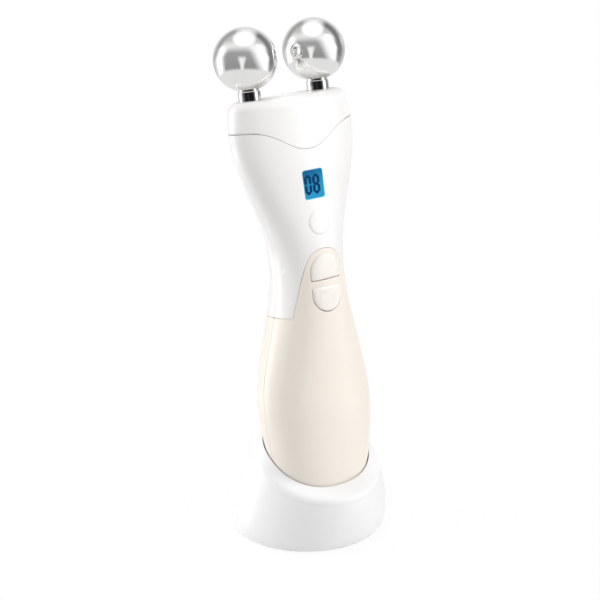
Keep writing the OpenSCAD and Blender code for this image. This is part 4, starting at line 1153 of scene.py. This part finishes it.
def table_top():
    """A plain white table: near the object it keeps a faint shadow, further off it is even white."""
    mesh = bpy.data.meshes.new("table_top")
    far = 8.0
    mesh.from_pydata([(-far, -far, 0), (far, -far, 0), (far, far, 0), (-far, far, 0)], [], [(0, 1, 2, 3)])
    top = place_new("table_top", mesh)
    top.visible_glossy = False
    material = bpy.data.materials.new("table_top")
    tree = bare_tree(material)
    seen = looked_at(tree)
    away = add(tree, "ShaderNodeVectorMath", {"operation": "LENGTH"},
               {0: add(tree, "ShaderNodeTexCoord").outputs["Object"]})
    even = add(tree, "ShaderNodeMapRange", {
        "interpolation_type": "SMOOTHSTEP", "From Min": 0.04, "From Max": 0.3, "To Min": 0.93, "To Max": 1.0},
        {"Value": away.outputs["Value"]})
    share = add(tree, "ShaderNodeMath", {"operation": "MULTIPLY"}, {0: seen, 1: even})
    mix = add(tree, "ShaderNodeMixShader", {}, {
        0: share, 1: add(tree, "ShaderNodeBsdfDiffuse", {"Color": grey(0.9)}),
        2: add(tree, "ShaderNodeEmission", {"Strength": 1.0})})
    add(tree, "ShaderNodeOutputMaterial", {}, {"Surface": mix})
    mesh.materials.append(material)


def room_light():
    """White where the camera or a mirror sees it, a dim even grey where it lights the object."""
    world = bpy.data.worlds.new("room")
    bpy.context.scene.world = world
    tree = bare_tree(world)
    seen = looked_at(tree)
    level = add(tree, "ShaderNodeMapRange", {"To Min": ROOM, "To Max": 1.0}, {"Value": seen})
    sky = add(tree, "ShaderNodeBackground", {"Color": grey(1.0)}, {"Strength": level})
    add(tree, "ShaderNodeOutputWorld", {}, {"Surface": sky})


# ---- Putting it together ----

def dress():
    white = moulded_abs("white_abs", "#F7F6F5", "#F6F5F3", 0.24)
    cradle_white = moulded_abs("cradle_abs", "#F6F6F6", "#F4F4F5", 0.3)
    cream = moulded_abs("cream_abs", "#F6EFE4", "#F6EDE2", 0.28)
    # Painted light: the keys get a paler cream than the grip, standing in for the brighter light that falls
    # on them
    key_cream_painted_light = moulded_abs("key_abs_painted_light", "#F7F3EC", "#F6F1E9", 0.28)
    chrome, nickel = chrome_plate(), nickel_painted_reflection()
    zinc, gold, mask = zinc_plate(), gold_plate(), solder_mask()
    dark = eroded_plastic("inner_abs", "#232427", "#2D2E32", 0.5)
    nylon = eroded_plastic("inlet_nylon", "#17181A", "#202124", 0.42)
    epoxy = eroded_plastic("chip_epoxy", "#151517", "#1C1C1F", 0.55)
    rubber = soft_rubber("foot_rubber", "#A9AAAB", "#B6B7B8", 0.55)

    white_front_shell(white)
    white_rear_shell(white)
    cream_front_shell(cream)
    cream_rear_shell(cream)
    head_cover(white)
    end_cap_cover(cream)
    cradle_cover(cradle_white)
    base_plate(cradle_white)
    foot_ring(rubber)
    key_cap("key_cap_up", KEY_UP_Z, True, "key_up", key_cream_painted_light)
    key_cap("key_cap_down", KEY_DOWN_Z, False, "key_down", key_cream_painted_light)
    power_cap(white)
    for side in (-1, 1):
        ball(side, chrome)
        neck(side, nickel)
    digits(crystal_segment())

    seat, length = 1.22, 7.4
    heads = [screw_parts(lambda x, y, h, b=b: Vector((b[0] + x, b[1] + y, seat - h)) * MM, 0.4 + b[0], length)
             for b in BOSSES]
    make_piece("cradle_screw_set", sum(heads, []), "cradle", zinc, "zinc_steel", ["cradle_screws"], 35)
    end_seat, end_length = 0.12, 8.8
    heads = [screw_parts(lambda x, y, h, m=m: docked((x, m + y, end_seat - h)), 0.9 * m, end_length)
             for m in END_SCREW_Y]
    make_piece("cap_screw_set", sum(heads, []), "handset", zinc, "zinc_steel", ["end_cap_screws"], 35)

    display_face(lit_display("display_glass", "#05588A", "#2B97C8"),
                 lit_display("window_rim", "#1482B4", "#52C4E6"))
    softened("display_cell", "handset", lit_display("display_rear", "#0A6AA4", "#1BA3D6"),
             0.05)
    softened("display_backlight", "handset", lit_display("light_guide", "#1690C4", "#2BB4E2"),
             0.08)
    for node, body, finish, slot, width in (
            ("power_inlet", "cradle", nylon, "inlet_nylon", 0.25),
            ("cradle_weight", "cradle", zinc, "zinc_steel", 0.3),
            ("cradle_board", "cradle", mask, "circuit_board", 0.06),
            ("charge_pin_barrels", "cradle", gold, "gold_brass", 0.12),
            ("charge_contacts", "handset", gold, "gold_brass", 0.12),
            ("chassis", "handset", dark, "inner_abs", 0.15),
            ("main_board", "handset", mask, "circuit_board", 0.06),
            ("board_chips", "handset", epoxy, "chip_epoxy", 0.08),
            ("board_screws", "handset", zinc, "zinc_steel", 0.1),
            ("tact_switches", "handset", epoxy, "chip_epoxy", 0.08),
            ("display_holder", "handset", dark, "inner_abs", 0.1),
            ("battery_cell", "handset", shrunk_film(), "battery_wrap", 0.4),
            ("buzzer", "handset", dark, "inner_abs", 0.2),
            ("head_socket", "handset", dark, "inner_abs", 0.2),
            ("socket_seal", "handset", rubber, "foot_rubber", 0.2),
            ("head_contact_pins", "handset", gold, "gold_brass", 0.08),
            ("head_plug", "head", dark, "inner_abs", 0.2),
            ("electrode_washers", "head", rubber, "foot_rubber", 0.12),
            ("electrode_nuts", "head", zinc, "zinc_steel", 0.2),
            ("contact_strips", "head", gold, "gold_brass", 0.06),
            ("charge_pin_left", "charge_pin_left", gold, "gold_brass", 0.05),
            ("charge_pin_right", "charge_pin_right", gold, "gold_brass", 0.05)):
        softened(node, body, finish, width)
    black = soft_rubber("black_lead", "#1A1B1D", "#242528", 0.4)
    red = soft_rubber("red_lead", "#9E2C26", "#AE3831", 0.4)
    for node, finish in (("cradle_leads", black), ("charge_leads", black), ("battery_leads", red)):
        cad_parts[node].data.materials.clear()
        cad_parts[node].data.materials.append(finish)


camera()
dress()
studio_walls()
table_top()
room_light()
lamp("left_panel", -92, 24, (0.5, 0.8), 5.4)
lamp("rear_left_panel", -130, 30, (0.5, 0.5), 0.6)
lamp("right_panel", 85, 25, (0.5, 0.5), 4.0)
lamp("overhead_panel", 0, 80, (0.5, 0.5), 3.7)
lamp("back_panel", 180, 60, (0.5, 0.5), 2.1)
lamp("front_panel", 30, 10, (0.5, 0.5), 1.2)
bpy.context.scene.view_settings.view_transform = "Standard"
